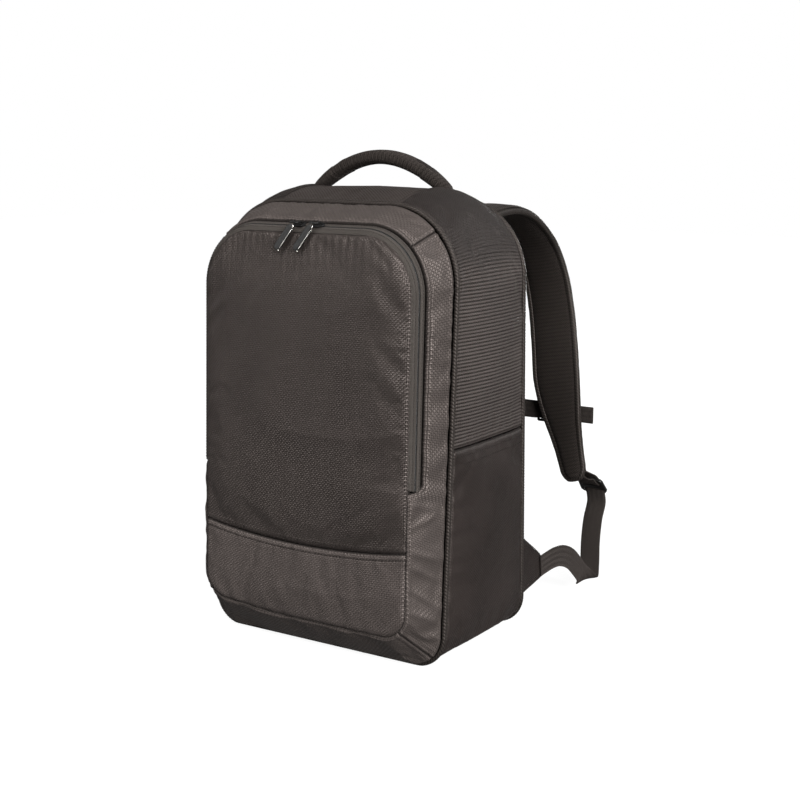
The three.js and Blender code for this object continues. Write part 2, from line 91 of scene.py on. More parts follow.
def swell(distance, height, reach):
    """Rises steeply from a seam and levels off at a height."""
    return height * (1 - np.exp(-distance / reach))


def nearest(*distances):
    return np.minimum.reduce(np.broadcast_arrays(*distances))


def unit(v):
    return v / np.maximum(np.linalg.norm(v, axis=-1, keepdims=True), 1e-9)


def noise(points, scale, seed=0):
    """Smooth value noise from -1 to 1 at points of shape (..., 3)."""
    p = points / scale + 13.7 * seed
    cell = np.floor(p).astype(np.int64)
    f = p - cell
    f = f * f * (3 - 2 * f)
    total = np.zeros(p.shape[:-1])
    for corner in product((0, 1), repeat=3):
        c = cell + np.array(corner)
        h = (c[..., 0] * 73856093) ^ (c[..., 1] * 19349663) ^ (c[..., 2] * 83492791)
        h = (h ^ (h >> 13)) * 1274126177
        h = (h ^ (h >> 16)) & 0xFFFF
        weight = np.prod(np.where(np.array(corner) == 1, f, 1 - f), axis=-1)
        total += weight * (h / 32767.5 - 1)
    return total


def crumple(points, scale, seed, stretch=(1, 1, 1)):
    """Sharp-ridged noise, like creased cloth, from 0 to 1."""
    p = points / np.array(stretch)
    bend = np.stack([noise(p, scale * 1.7, seed + 5 + i) for i in range(3)], axis=-1)
    return 1 - np.abs(noise(p + bend * scale * 0.45, scale, seed))


def inset(shape, by):
    half, top, base, top_radius, base_radius = shape
    return half - by, top - by, base + by, top_radius - by, base_radius - by


def rim(shape, q):
    """Points of a rounded outline. q counts its corners and straight edges, from the right, anticlockwise."""
    half, top, base, top_radius, base_radius = shape
    radius = np.array([top_radius, top_radius, base_radius, base_radius], float)
    centre_x = np.array([1, -1, -1, 1]) * (half - radius)
    centre_z = np.array([top, top, base, base]) + np.array([-1, -1, 1, 1]) * radius
    q = np.mod(q, 8)
    corner = np.floor(q / 2).astype(int)
    t = q - 2 * corner

    def on_corner(which, turn):
        return centre_x[which] + radius[which] * np.cos(turn), centre_z[which] + radius[which] * np.sin(turn)

    x, z = on_corner(corner, (corner + np.minimum(t, 1)) * math.pi / 2)
    end_x, end_z = on_corner((corner + 1) % 4, (corner + 1) * math.pi / 2)
    along = np.maximum(t - 1, 0)
    return x + (end_x - x) * along, z + (end_z - z) * along


def on_side(shape, z, right):
    """The outline's q at height z on its straight right or left edge."""
    _, top, base, top_radius, base_radius = shape
    low = base + base_radius
    t = (z - low) / (top - top_radius - low)
    return 7 + t if right else 4 - t


def half_width(shape, z):
    """Half the width of a rounded outline at height z."""
    half, top, base, top_radius, base_radius = shape
    upper = z > (top + base) / 2
    radius = np.where(upper, float(top_radius), float(base_radius))
    rise = np.clip(np.where(upper, z - top + top_radius, base + base_radius - z), 0, radius)
    return half - radius + np.sqrt(np.maximum(radius**2 - rise**2, 0))


def heights_of(shape, straight, steps=12):
    """Heights from an outline's base to its top, closer together round its corners."""
    _, top, base, top_radius, base_radius = shape
    round_off = np.sin(np.linspace(0, math.pi / 2, steps))
    low = base + base_radius * (1 - round_off[::-1])
    high = top - top_radius * (1 - round_off)
    middle = np.linspace(base + base_radius, top - top_radius, straight)
    return np.concatenate([low[:-1], middle, high[1:]])


def settle(x, y, z):
    """The bag leans and its top domes: a local depth y becomes the real one."""
    up = z / HEIGHT
    front = -HALF_DEPTH + FRONT_LEAN * up
    rear = HALF_DEPTH - REAR_LEAN * up
    pocket = (POCKET_DEPTH_AT_BASE + (POCKET_DEPTH - POCKET_DEPTH_AT_BASE) * up) / POCKET_DEPTH
    dome = np.maximum(0, 1 - (y / HALF_DEPTH) ** 2) * np.clip((z - HEIGHT + TOP_RADIUS) / TOP_RADIUS, 0, 1)
    depth = front + (y + HALF_DEPTH) / (2 * HALF_DEPTH) * (rear - front)
    depth = np.where(y < -HALF_DEPTH, front + (y + HALF_DEPTH) * pocket, depth)
    depth = np.where(y > HALF_DEPTH, rear + (y - HALF_DEPTH), depth)
    return np.stack(np.broadcast_arrays(x, depth, z + TOP_CROWN * dome), axis=-1)


def lengths(path):
    return np.concatenate([[0], np.cumsum(np.linalg.norm(np.diff(path, axis=0), axis=1))])


def at_length(path, s, where):
    return np.stack([np.interp(where, s, path[:, k]) for k in range(3)], axis=-1)


def even(path, count):
    s = lengths(path)
    return at_length(path, s, np.linspace(0, s[-1], count + 1))


def spline(points, count):
    """Centripetal Catmull-Rom curve through the points, as count + 1 evenly spaced ones."""
    p = np.array(points, float)
    p = np.vstack([2 * p[0] - p[1], p, 2 * p[-1] - p[-2]])
    dense = []
    for a, b, c, d in zip(p[:-3], p[1:-2], p[2:-1], p[3:]):
        steps = [math.sqrt(np.linalg.norm(y - x)) for x, y in ((a, b), (b, c), (c, d))]
        knots = np.cumsum([0] + steps)
        t = np.linspace(knots[1], knots[2], 40, endpoint=False)[:, None]

        def mix(x, y, i, j):
            return (x * (knots[j] - t) + y * (t - knots[i])) / (knots[j] - knots[i])

        first, second, third = mix(a, b, 0, 1), mix(b, c, 1, 2), mix(c, d, 2, 3)
        dense.append(mix(mix(first, second, 0, 2), mix(second, third, 1, 3), 1, 2))
    return even(np.vstack(dense + [p[-2:-1]]), count)


def mirrored(points, sign):
    return [(sign * x, y, z) for x, y, z in points]


def shifted(x, y, z):
    """The matrix that moves a piece by millimetres."""
    return Matrix.Translation(Vector((x, y, z)) * MM)


def turned(angle, axis):
    return Matrix.Rotation(angle, 4, axis)


# ---- Meshes ------------------------------------------------------------------------------------

def declare(obj, stands_for=""):
    """stands_for names the frame's nodes that the piece replaces."""
    if stands_for:
        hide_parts(*stands_for.split())
    return obj


def make_object(name, vertices, faces, material, body, uv=None):
    """vertices are in millimetres; uv is one pair per vertex, in millimetres of cloth."""
    mesh = bpy.data.meshes.new(name)
    vertices = np.asarray(vertices, float).reshape(-1, 3) * MM
    mesh.from_pydata(vertices.tolist(), [], [list(map(int, f)) for f in faces])
    mesh.validate()
    if uv is not None:
        layer = mesh.uv_layers.new(name="cloth")
        corner_vertex = np.zeros(len(mesh.loops), int)
        mesh.loops.foreach_get("vertex_index", corner_vertex)
        layer.data.foreach_set("uv", (np.asarray(uv, float).reshape(-1, 2)[corner_vertex] * MM).ravel())
    return place_mesh(name, mesh, material, body)


def place_mesh(name, mesh, material, body):
    mesh.shade_smooth()
    mesh.materials.append(materials[material])
    obj = bpy.data.objects.new(name, mesh)
    bpy.context.scene.collection.objects.link(obj)
    if body:
        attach(obj, body)
    return obj


def grid_faces(rows, columns, closed=False):
    i = np.arange(rows - 1)[:, None] * columns
    j = np.arange(columns if closed else columns - 1)[None, :]
    k = (j + 1) % columns
    return np.stack([i + j, i + k, i + columns + k, i + columns + j], axis=-1).reshape(-1, 4)


def slopes(grid):
    return np.cross(np.gradient(grid, axis=0), np.gradient(grid, axis=1))


def faces_towards(grid, outward):
    faces = grid_faces(*grid.shape[:2])
    return faces[:, ::-1] if np.sum(slopes(grid) * outward) > 0 else faces


def grid_normals(grid, outward):
    n = unit(slopes(grid))
    return n if np.sum(n * outward) > 0 else -n


def refine(grid, factor):
    """A grid of points with factor times as many steps each way, on a smooth curve through them."""
    for axis in (0, 1):
        g = np.moveaxis(grid, axis, 0)
        g = np.concatenate([2 * g[:1] - g[1:2], g, 2 * g[-1:] - g[-2:-1]])
        at = np.linspace(0, len(g) - 3, (len(g) - 3) * factor + 1)
        i = np.minimum(np.floor(at).astype(int), len(g) - 4)
        t = (at - i).reshape(-1, *([1] * (g.ndim - 1)))
        a, b, c, d = g[i], g[i + 1], g[i + 2], g[i + 3]
        g = b + 0.5 * t * (c - a + t * (2 * a - 5 * b + 4 * c - d + t * (3 * (b - c) + d - a)))
        grid = np.moveaxis(g, 0, axis)
    return grid


def billow(grid, outward, pressure, spare, cap, frames=20):
    """Blows a sewn panel up with Blender's cloth. Its edges are pinned; spare is the extra share of cloth."""
    mesh = bpy.data.meshes.new("billow")
    mesh.from_pydata((grid.reshape(-1, 3) * MM).tolist(), [], faces_towards(grid, outward).tolist())
    obj = bpy.data.objects.new("billow", mesh)
    bpy.context.scene.collection.objects.link(obj)
    held = np.zeros(grid.shape[:2], bool)
    held[[0, -1], :] = True
    held[:, [0, -1]] = True
    group = obj.vertex_groups.new(name="sewn")
    group.add([int(i) for i in np.flatnonzero(held.ravel())], 1.0, "REPLACE")
    cloth = obj.modifiers.new("cloth", "CLOTH")
    cloth.settings.vertex_group_mass = "sewn"
    cloth.settings.quality = 6
    cloth.settings.mass = 0.2
    cloth.settings.tension_stiffness = 25
    cloth.settings.compression_stiffness = 25
    cloth.settings.shear_stiffness = 10
    cloth.settings.bending_stiffness = 1.0
    cloth.settings.shrink_min = -spare
    cloth.settings.use_pressure = True
    cloth.settings.uniform_pressure_force = pressure
    cloth.settings.effector_weights.gravity = 0
    cloth.point_cache.frame_start = 1
    cloth.point_cache.frame_end = frames
    for number in range(1, frames + 1):
        bpy.context.scene.frame_set(number)
    shaped = obj.evaluated_get(bpy.context.evaluated_depsgraph_get())
    moved = np.zeros(grid.size)
    shaped.data.vertices.foreach_get("co", moved)
    bpy.context.scene.frame_set(1)
    bpy.data.objects.remove(obj)
    bpy.data.meshes.remove(mesh)
    shift = moved.reshape(grid.shape) / MM - grid
    size = np.linalg.norm(shift, axis=-1, keepdims=True)
    return grid + shift * np.minimum(1, cap / np.maximum(size, 1e-6))


def panel(name, grid, relief, material, body, stands_for, outward, thickness=1.6, factor=3, sim=None):
    """One sewn cloth panel. relief gives how far each point stands out, from the points and their distances
    to the grid's first row, last row, first column and last column. The panel's smallest distance is kept
    as the attribute that the cloth reads to paint shade into its seams."""
    normal = grid_normals(refine(grid, factor), outward)
    if sim:
        grid = billow(grid, outward, **sim)
    grid = refine(grid, factor)
    rows, columns = grid.shape[:2]
    s = np.vstack([np.zeros((1, columns)), np.cumsum(np.linalg.norm(np.diff(grid, axis=0), axis=-1), axis=0)])
    t = np.hstack([np.zeros((rows, 1)), np.cumsum(np.linalg.norm(np.diff(grid, axis=1), axis=-1), axis=1)])
    distances = (s, s[-1:] - s, t, t[:, -1:] - t)
    grid = grid + normal * relief(grid, *distances)[..., None]
    uv = np.stack([t - t[:, -1:] / 2, s.mean(axis=1, keepdims=True) + 0 * s], axis=-1)
    obj = make_object(name, grid, faces_towards(grid, normal), material, body, uv)
    obj.data.attributes.new("seam", "FLOAT", "POINT").data.foreach_set("value", nearest(*distances).ravel())
    obj.data.materials.append(materials["lining"])
    solidify = obj.modifiers.new("wall", "SOLIDIFY")
    solidify.thickness = thickness * MM
    solidify.offset = -1
    solidify.material_offset = 1
    return declare(obj, stands_for), grid, grid_normals(grid, outward)


def lines_on(grid, normal, rows=(), columns=(), span=slice(None), lift=0.1):
    """Lines along a panel's rows and columns, each with its normals."""
    picks = [(row, span) for row in rows] + [(span, column) for column in columns]
    return [(grid[pick] + normal[pick] * lift, normal[pick]) for pick in picks]


def sweep(sections):
    """Closed surface through sections (count, ring, 3) of points; returns vertices and faces."""
    count, ring = sections.shape[:2]
    faces = grid_faces(count, ring, closed=True).tolist()
    last = (count - 1) * ring
    for j in range(ring):
        k = (j + 1) % ring
        faces.append([k, j, count * ring])
        faces.append([last + j, last + k, count * ring + 1])
    return np.vstack([sections.reshape(-1, 3), sections[0].mean(0), sections[-1].mean(0)]), faces


def frames_along(path, across):
    """Unit forward, width and outward directions at each point of a path."""
    tangent = unit(np.gradient(path, axis=0))
    wide = np.broadcast_to(np.asarray(across, float), path.shape)
    wide = unit(wide - np.sum(wide * tangent, axis=1, keepdims=True) * tangent)
    return tangent, wide, np.cross(tangent, wide)


def strip(name, path, across, section, material, body, stands_for="", scale=None):
    """A band, pad or tube: section is a closed ring of (width, out) pairs, scaled along the path."""
    path = np.asarray(path, float)
    _, wide, out = frames_along(path, across)
    ring = np.asarray(section, float)
    if ring.ndim == 2:
        ring = np.broadcast_to(ring, (len(path), *ring.shape))
    if scale is not None:
        ring = ring * np.asarray(scale, float)[:, None, None]
    vertices, faces = sweep(path[:, None] + wide[:, None] * ring[..., :1] + out[:, None] * ring[..., 1:])
    along = np.broadcast_to(lengths(path)[:, None], ring.shape[:2])
    uv = np.stack([ring[..., 0], along], axis=-1).reshape(-1, 2)
    uv = np.vstack([uv, [[0, 0], [0, along[-1, 0]]]])
    return declare(make_object(name, vertices, faces, material, body, uv), stands_for)


def oval(wide, thick, power=2.0, steps=20):
    """Section with half its width and half its thickness given; a higher power squares it off."""
    angle = np.linspace(0, 2 * math.pi, steps, endpoint=False)
    c, s = np.cos(angle), np.sin(angle)
    return np.stack([wide * np.sign(c) * np.abs(c) ** (2 / power),
                     thick * np.sign(s) * np.abs(s) ** (2 / power)], axis=1)


def tube(name, path, radius, material, body, steps=12):
    """Round bar with rounded ends."""
    path = np.asarray(path, float)
    path = even(path, max(8, int(lengths(path)[-1] / 0.8)))
    across = np.cross(unit(path[-1] - path[0]), (0.3, 0.9, 0.2))
    s = np.linspace(0, 1, len(path))
    ends = np.minimum(s, 1 - s) * lengths(path)[-1]
    rounding = np.sqrt(np.clip(1 - (1 - np.clip(ends / radius, 0.02, 1)) ** 2, 0.02, 1))
    return strip(name, path, across, oval(radius, radius, 2, steps), material, body, scale=rounding)


def block_faces(first):
    """Faces of a short block whose four sections hold four vertices each."""
    faces = []
    for i, j in product(range(3), range(4)):
        base = first + 4 * i
        k = (j + 1) % 4
        faces.append([base + j, base + k, base + 4 + k, base + 4 + j])
    return faces + [[first + j for j in (3, 2, 1, 0)], [first + 12 + j for j in range(4)]]


def stitches(name, lines, body, length=2.7, gap=1.1, radius=0.42):
    """Rows of thread. Each line is a pair: a path of points and the surface normals along it."""
    vertices, faces = [], []
    # Each section's place along the stitch and its thickness, as shares of the whole.
    stations = ((-0.5, 0.25), (-0.3, 0.9), (0.3, 0.9), (0.5, 0.25))
    lift = 0.15
    for path, normal in lines:
        s = lengths(path)
        for centre in np.arange(length / 2, s[-1] - length / 2, length + gap):
            points = [at_length(path, s, centre + k * length) for k, _ in stations]
            up = unit(at_length(normal, s, centre))
            side = unit(np.cross(up, points[-1] - points[0]))
            faces += block_faces(len(vertices))
            for point, (_, size) in zip(points, stations):
                middle = point + up * (lift + (size - 1) * radius * 0.6)
                for a, b in ((1, 0), (0, 1), (-1, 0), (0, -1)):
                    vertices.append(middle + (side * a * 0.9 + up * b) * radius * size)
    return make_object(name, vertices, faces, "thread", body)


def solid(name, outline, depth, material, body, bevel=0.6, place=Matrix(), holes=()):
    """A flat plate with rounded edges, cut from an outline in its own x-y plane."""
    mesh = bmesh.new()
    edges = []
    for ring in (outline, *holes):
        made = [mesh.verts.new((x * MM, y * MM, 0)) for x, y in ring]
        edges += [mesh.edges.new((a, b)) for a, b in zip(made, made[1:] + made[:1])]
    bmesh.ops.triangle_fill(mesh, edges=edges, use_beauty=True)
    made = bmesh.ops.extrude_face_region(mesh, geom=list(mesh.faces))
    raised = [v for v in made["geom"] if isinstance(v, bmesh.types.BMVert)]
    bmesh.ops.translate(mesh, verts=raised, vec=(0, 0, depth * MM))
    bmesh.ops.recalc_face_normals(mesh, faces=mesh.faces)
    sharp = [e for e in mesh.edges if len(e.link_faces) == 2 and e.calc_face_angle() > 0.6]
    bmesh.ops.bevel(mesh, geom=sharp, offset=bevel * MM, segments=3, profile=0.6, affect="EDGES",
                    clamp_overlap=True)
    mesh.transform(place @ shifted(0, 0, -depth / 2))
    data = bpy.data.meshes.new(name)
    mesh.to_mesh(data)
    mesh.free()
    return declare(place_mesh(name, data, material, body))


def joined(name, parts, stands_for=""):
    """Makes one object of several, with the first one's name, body and materials."""
    if len(parts) > 1:
        chosen = dict(active_object=parts[0], selected_editable_objects=parts, selected_objects=parts)
        with bpy.context.temp_override(**chosen):
            bpy.ops.object.join()
    parts[0].name = name
    return declare(parts[0], stands_for)


def rounded(x0, z0, x1, z1, radius, steps=5):
    points = []
    for k, (cx, cz) in enumerate(((x1 - radius, z1 - radius), (x0 + radius, z1 - radius),
                                  (x0 + radius, z0 + radius), (x1 - radius, z0 + radius))):
        for i in range(steps + 1):
            a = (k + i / steps) * math.pi / 2
            points.append((cx + radius * math.cos(a), cz + radius * math.sin(a)))
    return points


# ---- Materials ---------------------------------------------------------------------------------

WARM = (1.0, 0.86, 0.80)
# Near black for the shade painted into seam grooves.
PAINTED_SHADE_BLACK = (0.0006, 0.0005, 0.0005, 1)


class Shader:
    """A material under construction: short ways to add nodes and join them."""

    def __init__(self, name, roughness, metallic=0.0, specular=0.5, sheen=0.0, tint=(1, 1, 1)):
        self.material = bpy.data.materials.new(name)
        self.material.use_nodes = True
        self.nodes = self.material.node_tree.nodes
        self.links = self.material.node_tree.links
        self.surface = self.nodes["Principled BSDF"].inputs
        plain = {"Roughness": roughness, "Metallic": metallic, "Specular IOR Level": specular,
                 "Sheen Weight": sheen, "Sheen Roughness": 0.4, "Specular Tint": (*tint, 1),
                 "Sheen Tint": (*tint, 1)}
        for socket, value in plain.items():
            self.surface[socket].default_value = value

    def put(self, socket, value):
        if isinstance(value, bpy.types.NodeSocket):
            self.links.new(value, socket)
        else:
            socket.default_value = value

    def add(self, kind, inputs, output=0, **settings):
        node = self.nodes.new("ShaderNode" + kind)
        for key, value in settings.items():
            setattr(node, key, value)
        for key, value in inputs.items():
            self.put(node.inputs[key], value)
        return node.outputs[output]

    def math(self, operation, a, b=0.0):
        return self.add("Math", {0: a, 1: b}, operation=operation)

    def total(self, *terms):
        """Sum of sockets, each either alone or in a pair with its factor."""
        terms = [self.math("MULTIPLY", *term) if isinstance(term, tuple) else term for term in terms]
        total = terms[0]
        for term in terms[1:]:
            total = self.math("ADD", total, term)
        return total

    def wave(self, along, pitch):
        return self.math("SINE", self.math("MULTIPLY", along, math.pi / (pitch * MM)))

    def ridges(self, along, pitch):
        return self.math("ABSOLUTE", self.wave(along, pitch))

    def axes(self, vector):
        return self.add("SeparateXYZ", {0: vector}).node.outputs

    def cloth_uv(self):
        u, v, _ = self.axes(self.add("UVMap", {}, uv_map="cloth"))
        return u, v

    def place(self):
        return self.add("TexCoord", {}, output=3)

    def noise(self, scale, detail=3.0):
        return self.add("TexNoise", {"Vector": self.place(), "Scale": scale, "Detail": detail})

    def ramp(self, value, low, high, out_low=0.0, out_high=1.0):
        return self.add("MapRange", {0: value, 1: low, 2: high, 3: out_low, 4: out_high})

    def mix(self, factor, a, b):
        return self.add("Mix", {"Factor": factor, 6: a, 7: b}, output=2, data_type="RGBA")

    def threads(self, u, v, pitch):
        """Plain weave: the height of warp and weft threads, 0 to 1."""
        warp, weft = self.wave(u, pitch), self.wave(v, pitch)
        over = self.math("GREATER_THAN", self.math("MULTIPLY", warp, weft), 0.0)
        under = self.math("SUBTRACT", 1.0, over)
        return self.total((over, self.math("ABSOLUTE", warp)), (under, self.math("ABSOLUTE", weft)))

    def finish(self, dark, light, tone, height, distance, strength=1.0, roughness=None, shade=None):
        """Colours by tone, with shade painted in where shade is low, and a bump of the height given in
        millimetres.
        """
        cloth = self.mix(tone, (*dark, 1), (*light, 1))
        self.put(self.surface["Base Color"], cloth if shade is None else self.mix(shade, PAINTED_SHADE_BLACK, cloth))
        if roughness is not None:
            self.put(self.surface["Roughness"], roughness)
        bump = {"Height": height, "Distance": distance * MM, "Strength": strength}
        self.put(self.surface["Normal"], self.add("Bump", bump))
        return self.material


def woven(name, dark, light, pitch, roughness, depth, contrast, patchiness=0.5, ribs=0.0):
    """Woven polyester: threads, slubs, soft patches of light and dark, painted shade along the seams, and
    cross ribs that fade out near the top, where the tone is also painted darker as shade."""
    m = Shader(name, roughness, specular=0.45, sheen=0.03, tint=WARM)
    u, v = m.cloth_uv()
    threads = m.threads(u, v, pitch)
    slubs = m.noise(900.0, 2.0)
    patches = m.noise(12.0)
    tone = m.total((threads, contrast), (slubs, 0.2), (m.ramp(patches, 0.3, 0.7), patchiness * 0.5))
    height = m.total(threads, (slubs, 0.4))
    if ribs:
        # Above these heights the ribs fade out and the tone is painted darker, as shade on the top of the
        # panel.
        rib_fade_shade_start = (0.40, 0.45)  # metres above the floor
        ribs_shown_unshaded = m.ramp(m.axes(m.place())[2], *rib_fade_shade_start, 1.0, 0.0)
        rib = m.math("MULTIPLY", m.ridges(v, ribs), ribs_shown_unshaded)
        tone = m.total(tone, (m.math("SUBTRACT", rib, 0.64), 0.9))
        # Painted shade: the tone drops to a twentieth at the top of the panel.
        tone = m.math("MULTIPLY", tone, m.ramp(ribs_shown_unshaded, 0.0, 1.0, 0.05, 1.0))
        height = m.total(height, (rib, 2.2))
    # Painted shade: the cloth darkens to near black within about 2 mm of its seams, and is rougher there to
    # dull its highlights.
    seam_distance = m.add("Attribute", {}, output=2, attribute_name="seam")
    clear = m.ramp(seam_distance, 0.4, 1.9)
    rough = m.total(m.ramp(patches, 0.3, 0.7, roughness - 0.05, roughness + 0.07),
                    m.ramp(clear, 0.0, 1.0, 0.4, 0.0))
    return m.finish(dark, light, m.ramp(tone, 0.1, 1.15), height, depth, roughness=rough, shade=clear)


def air_mesh(name, dark, light, pitch):
    """Spacer mesh: rows of small open cells between rounded bars."""
    m = Shader(name, 0.85, sheen=0.05, specular=0.15, tint=WARM)
    u, v = m.cloth_uv()
    slants = m.wave(m.math("ADD", u, v), pitch), m.wave(m.math("SUBTRACT", u, v), pitch)
    cells = m.math("ABSOLUTE", m.math("MULTIPLY", *slants))
    relief = m.math("SUBTRACT", m.math("MULTIPLY", m.ridges(v, 4.6), 0.6), cells)
    fibres = m.noise(1200.0, 2.0)
    tone = m.total((fibres, 0.5), relief)
    return m.finish(dark, light, m.ramp(tone, -0.6, 1.0), m.total((fibres, 0.3), relief), 0.8)


def web_cloth(name, dark, light, roughness=0.6):
    """Strap webbing: cross ribs with a chevron, and fine cords along it."""
    m = Shader(name, roughness, sheen=0.04, specular=0.25, tint=WARM)
    u, v = m.cloth_uv()
    chevron = m.math("ADD", v, m.math("PINGPONG", u, 3.1 * MM))
    height = m.total((m.wave(chevron, 0.75), 0.5), (m.ridges(u, 1.2), 0.6))
    tone = m.total((height, 0.4), (m.noise(1500.0, 2.0), 0.6))
    return m.finish(dark, light, m.ramp(tone, 0.0, 1.0), height, 0.35)


def lining_cloth(name, dark, light):
    """Thin slippery lining with small crinkles and a ripstop grid."""
    m = Shader(name, 0.5, sheen=0.05, specular=0.3)
    x, _, z = m.axes(m.place())
    lines = [m.math("GREATER_THAN", m.ridges(along, 6), 0.985) for along in (x, z)]
    crinkle = m.noise(60.0, 5.0)
    tone = m.total((crinkle, 0.7), (m.math("MAXIMUM", *lines), 0.3))
    height = m.total(crinkle, (m.noise(700.0, 2.0), 0.12))
    return m.finish(dark, light, m.ramp(tone, 0.2, 0.9), height, 1.2, 0.5)


def moulded(name, dark, light, roughness, grain=0.06):
    """Moulded plastic or board: a fine spark-eroded grain and a few scuffs."""
    m = Shader(name, roughness)
    sparks = m.noise(2400.0, 2.0)
    scuffs = m.ramp(m.noise(90.0, 6.0), 0.52, 0.72)
    rough = m.ramp(scuffs, 0.0, 1.0, roughness, roughness + 0.18)
    return m.finish(dark, light, m.total((sparks, 0.35), (scuffs, 0.4)), sparks, grain, roughness=rough)


def polished(name, dark, light, roughness, metallic):
    """Lacquered or bare metal, with a thin varying film and rubbed patches."""
    m = Shader(name, roughness, metallic=metallic)
    rub = m.ramp(m.noise(160.0, 5.0), 0.45, 0.75)
    rough = m.ramp(m.noise(420.0), 0.3, 0.7, roughness, roughness + 0.12)
    return m.finish(dark, light, rub, m.noise(700.0, 2.0), 0.02, roughness=rough)


def twisted(name, dark, light, pitch):
    """Bound edge cloth or thread: slanting twist along the piece."""
    m = Shader(name, 0.42, sheen=0.03, specular=0.3, tint=WARM)
    u, v = m.cloth_uv()
    twist = m.ridges(m.total(v, (u, 0.8)), pitch)
    fibres = m.noise(1300.0, 2.0)
    tone = m.math("MULTIPLY", twist, m.ramp(fibres, 0.2, 0.8, 0.5, 1.0))
    return m.finish(dark, light, tone, m.total(twist, (fibres, 0.4)), 0.3)


materials = {
    "oxford": woven("oxford_cloth", (0.0024, 0.0018, 0.0016), (0.029, 0.0238, 0.0216), 2.0, 0.38, 0.28, 1.05,
                    patchiness=0.9),
    # A darker copy of the oxford cloth for the top panel: painted shade.
    "top": woven("top_cloth", (0.0024, 0.0018, 0.0016), (0.027, 0.0221, 0.0200), 2.0, 0.42, 0.28, 0.95),
    "coarse": woven("coarse_cloth", (0.0025, 0.0019, 0.0017), (0.062, 0.0518, 0.0476), 2.4, 0.42, 0.3, 1.2,
                    patchiness=0.3),
    "ribbed": woven("ribbed_cloth", (0.0045, 0.0035, 0.0032), (0.092, 0.0770, 0.0705), 1.5, 0.45, 0.4, 0.4,
                    ribs=3.6),
    "satin": woven("satin_cloth", (0.0034, 0.0026, 0.0024), (0.057, 0.0472, 0.0434), 2.0, 0.38, 0.28, 1.0),
    "dark": woven("dark_cloth", (0.0028, 0.0021, 0.0019), (0.024, 0.0188, 0.0172), 1.6, 0.36, 0.16, 0.6,
                  patchiness=0.8),
    "mesh": air_mesh("air_mesh", (0.0018, 0.0015, 0.0012), (0.030, 0.025, 0.022), 2.6),
    "webbing": web_cloth("webbing", (0.006, 0.0051, 0.0047), (0.045, 0.038, 0.034)),
    "tape": web_cloth("zip_tape", (0.014, 0.0122, 0.0106), (0.085, 0.076, 0.068), 0.5),
    "lining": lining_cloth("lining", (0.050, 0.049, 0.050), (0.11, 0.108, 0.11)),
    "piping": twisted("piping_cloth", (0.0008, 0.0006, 0.0005), (0.034, 0.029, 0.0258), 3.6),
    "thread": twisted("thread", (0.006, 0.0049, 0.0044), (0.040, 0.0337, 0.0303), 0.8),
    "plastic": moulded("buckle_plastic", (0.004, 0.0037, 0.0034), (0.018, 0.0168, 0.0158), 0.34),
    "coil": moulded("zip_coil", (0.004, 0.0038, 0.0036), (0.020, 0.019, 0.018), 0.3, 0.02),
    "board": moulded("board", (0.012, 0.012, 0.012), (0.035, 0.035, 0.035), 0.55),
    "enamel": polished("black_enamel", (0.0015, 0.0013, 0.0012), (0.005, 0.0045, 0.0042), 0.46, 0.0),
    "bright": polished("bright_metal", (0.30, 0.29, 0.27), (0.75, 0.73, 0.70), 0.1, 1.0),
}


# ---- Reliefs -----------------------------------------------------------------------------------

def edge_dip(distance, depth, width):
    """Cloth pulled down into a seam, with a soft roll beside it."""
    return -depth * np.exp(-((distance / width) ** 2)) + 0.5 * bell(distance, width * 2.4, width)


def crease(a, b, start, end, width):
    """A soft ridge along the segment from start to end in the plane of a and b."""
    start, end = np.array(start, float), np.array(end, float)
    d = end - start
    t = np.clip(((a - start[0]) * d[0] + (b - start[1]) * d[1]) / (d @ d), 0, 1)
    away = np.hypot(a - start[0] - t * d[0], b - start[1] - t * d[1])
    return np.exp(-((away / width) ** 2)) * np.sin(math.pi * np.clip(t * 0.9 + 0.05, 0, 1)) ** 0.5


def uneven(height, scale, seed):
    return lambda p, *_: height * noise(p, scale, seed)


def hemmed(height, reach, dip, at, width, wrinkle=0.0):
    """A patch whose hem is sewn down: it rises from its edge and dips along the seam inside it."""
    def relief(p, *distances):
        edge = nearest(*distances)
        return height * smoothstep(0, reach, edge) - dip * bell(edge, at, width) + wrinkle * noise(p, 14, 95)
    return relief


def wall_relief(seed, puff, wrinkle):
    def relief(p, first, last, left, right):
        edge = nearest(left, right)
        ends = nearest(first, last)
        calm = smoothstep(0, 18, nearest(edge, ends))
        creases = crumple(p, 60, seed) ** 2 + 0.3 * crumple(p, 22, seed + 1) ** 3
        return (edge_dip(edge, 2.4, 2.2) + swell(edge, puff, 17) + edge_dip(ends, 1.6, 1.8)
                + wrinkle * (calm * creases + 0.15 * noise(p, 12, seed + 2)))
    return relief


# ---- Body shell --------------------------------------------------------------------------------

TOP_SEAMS = (0.93, 2.07)  # the outline's q at the two ends of the top panel
BASE_SEAMS = (4.36, 6.64)


def gusset(first, last, rows, columns=24):
    """Panel of the bag's side wall between two places of the outline."""
    q = np.linspace(first, last, rows)[:, None]
    y = np.linspace(-GUSSET_EDGE, GUSSET_EDGE, columns)[None, :]
    x, z = rim(BODY, q + 0 * y)
    return settle(x, y + 0 * q, z)


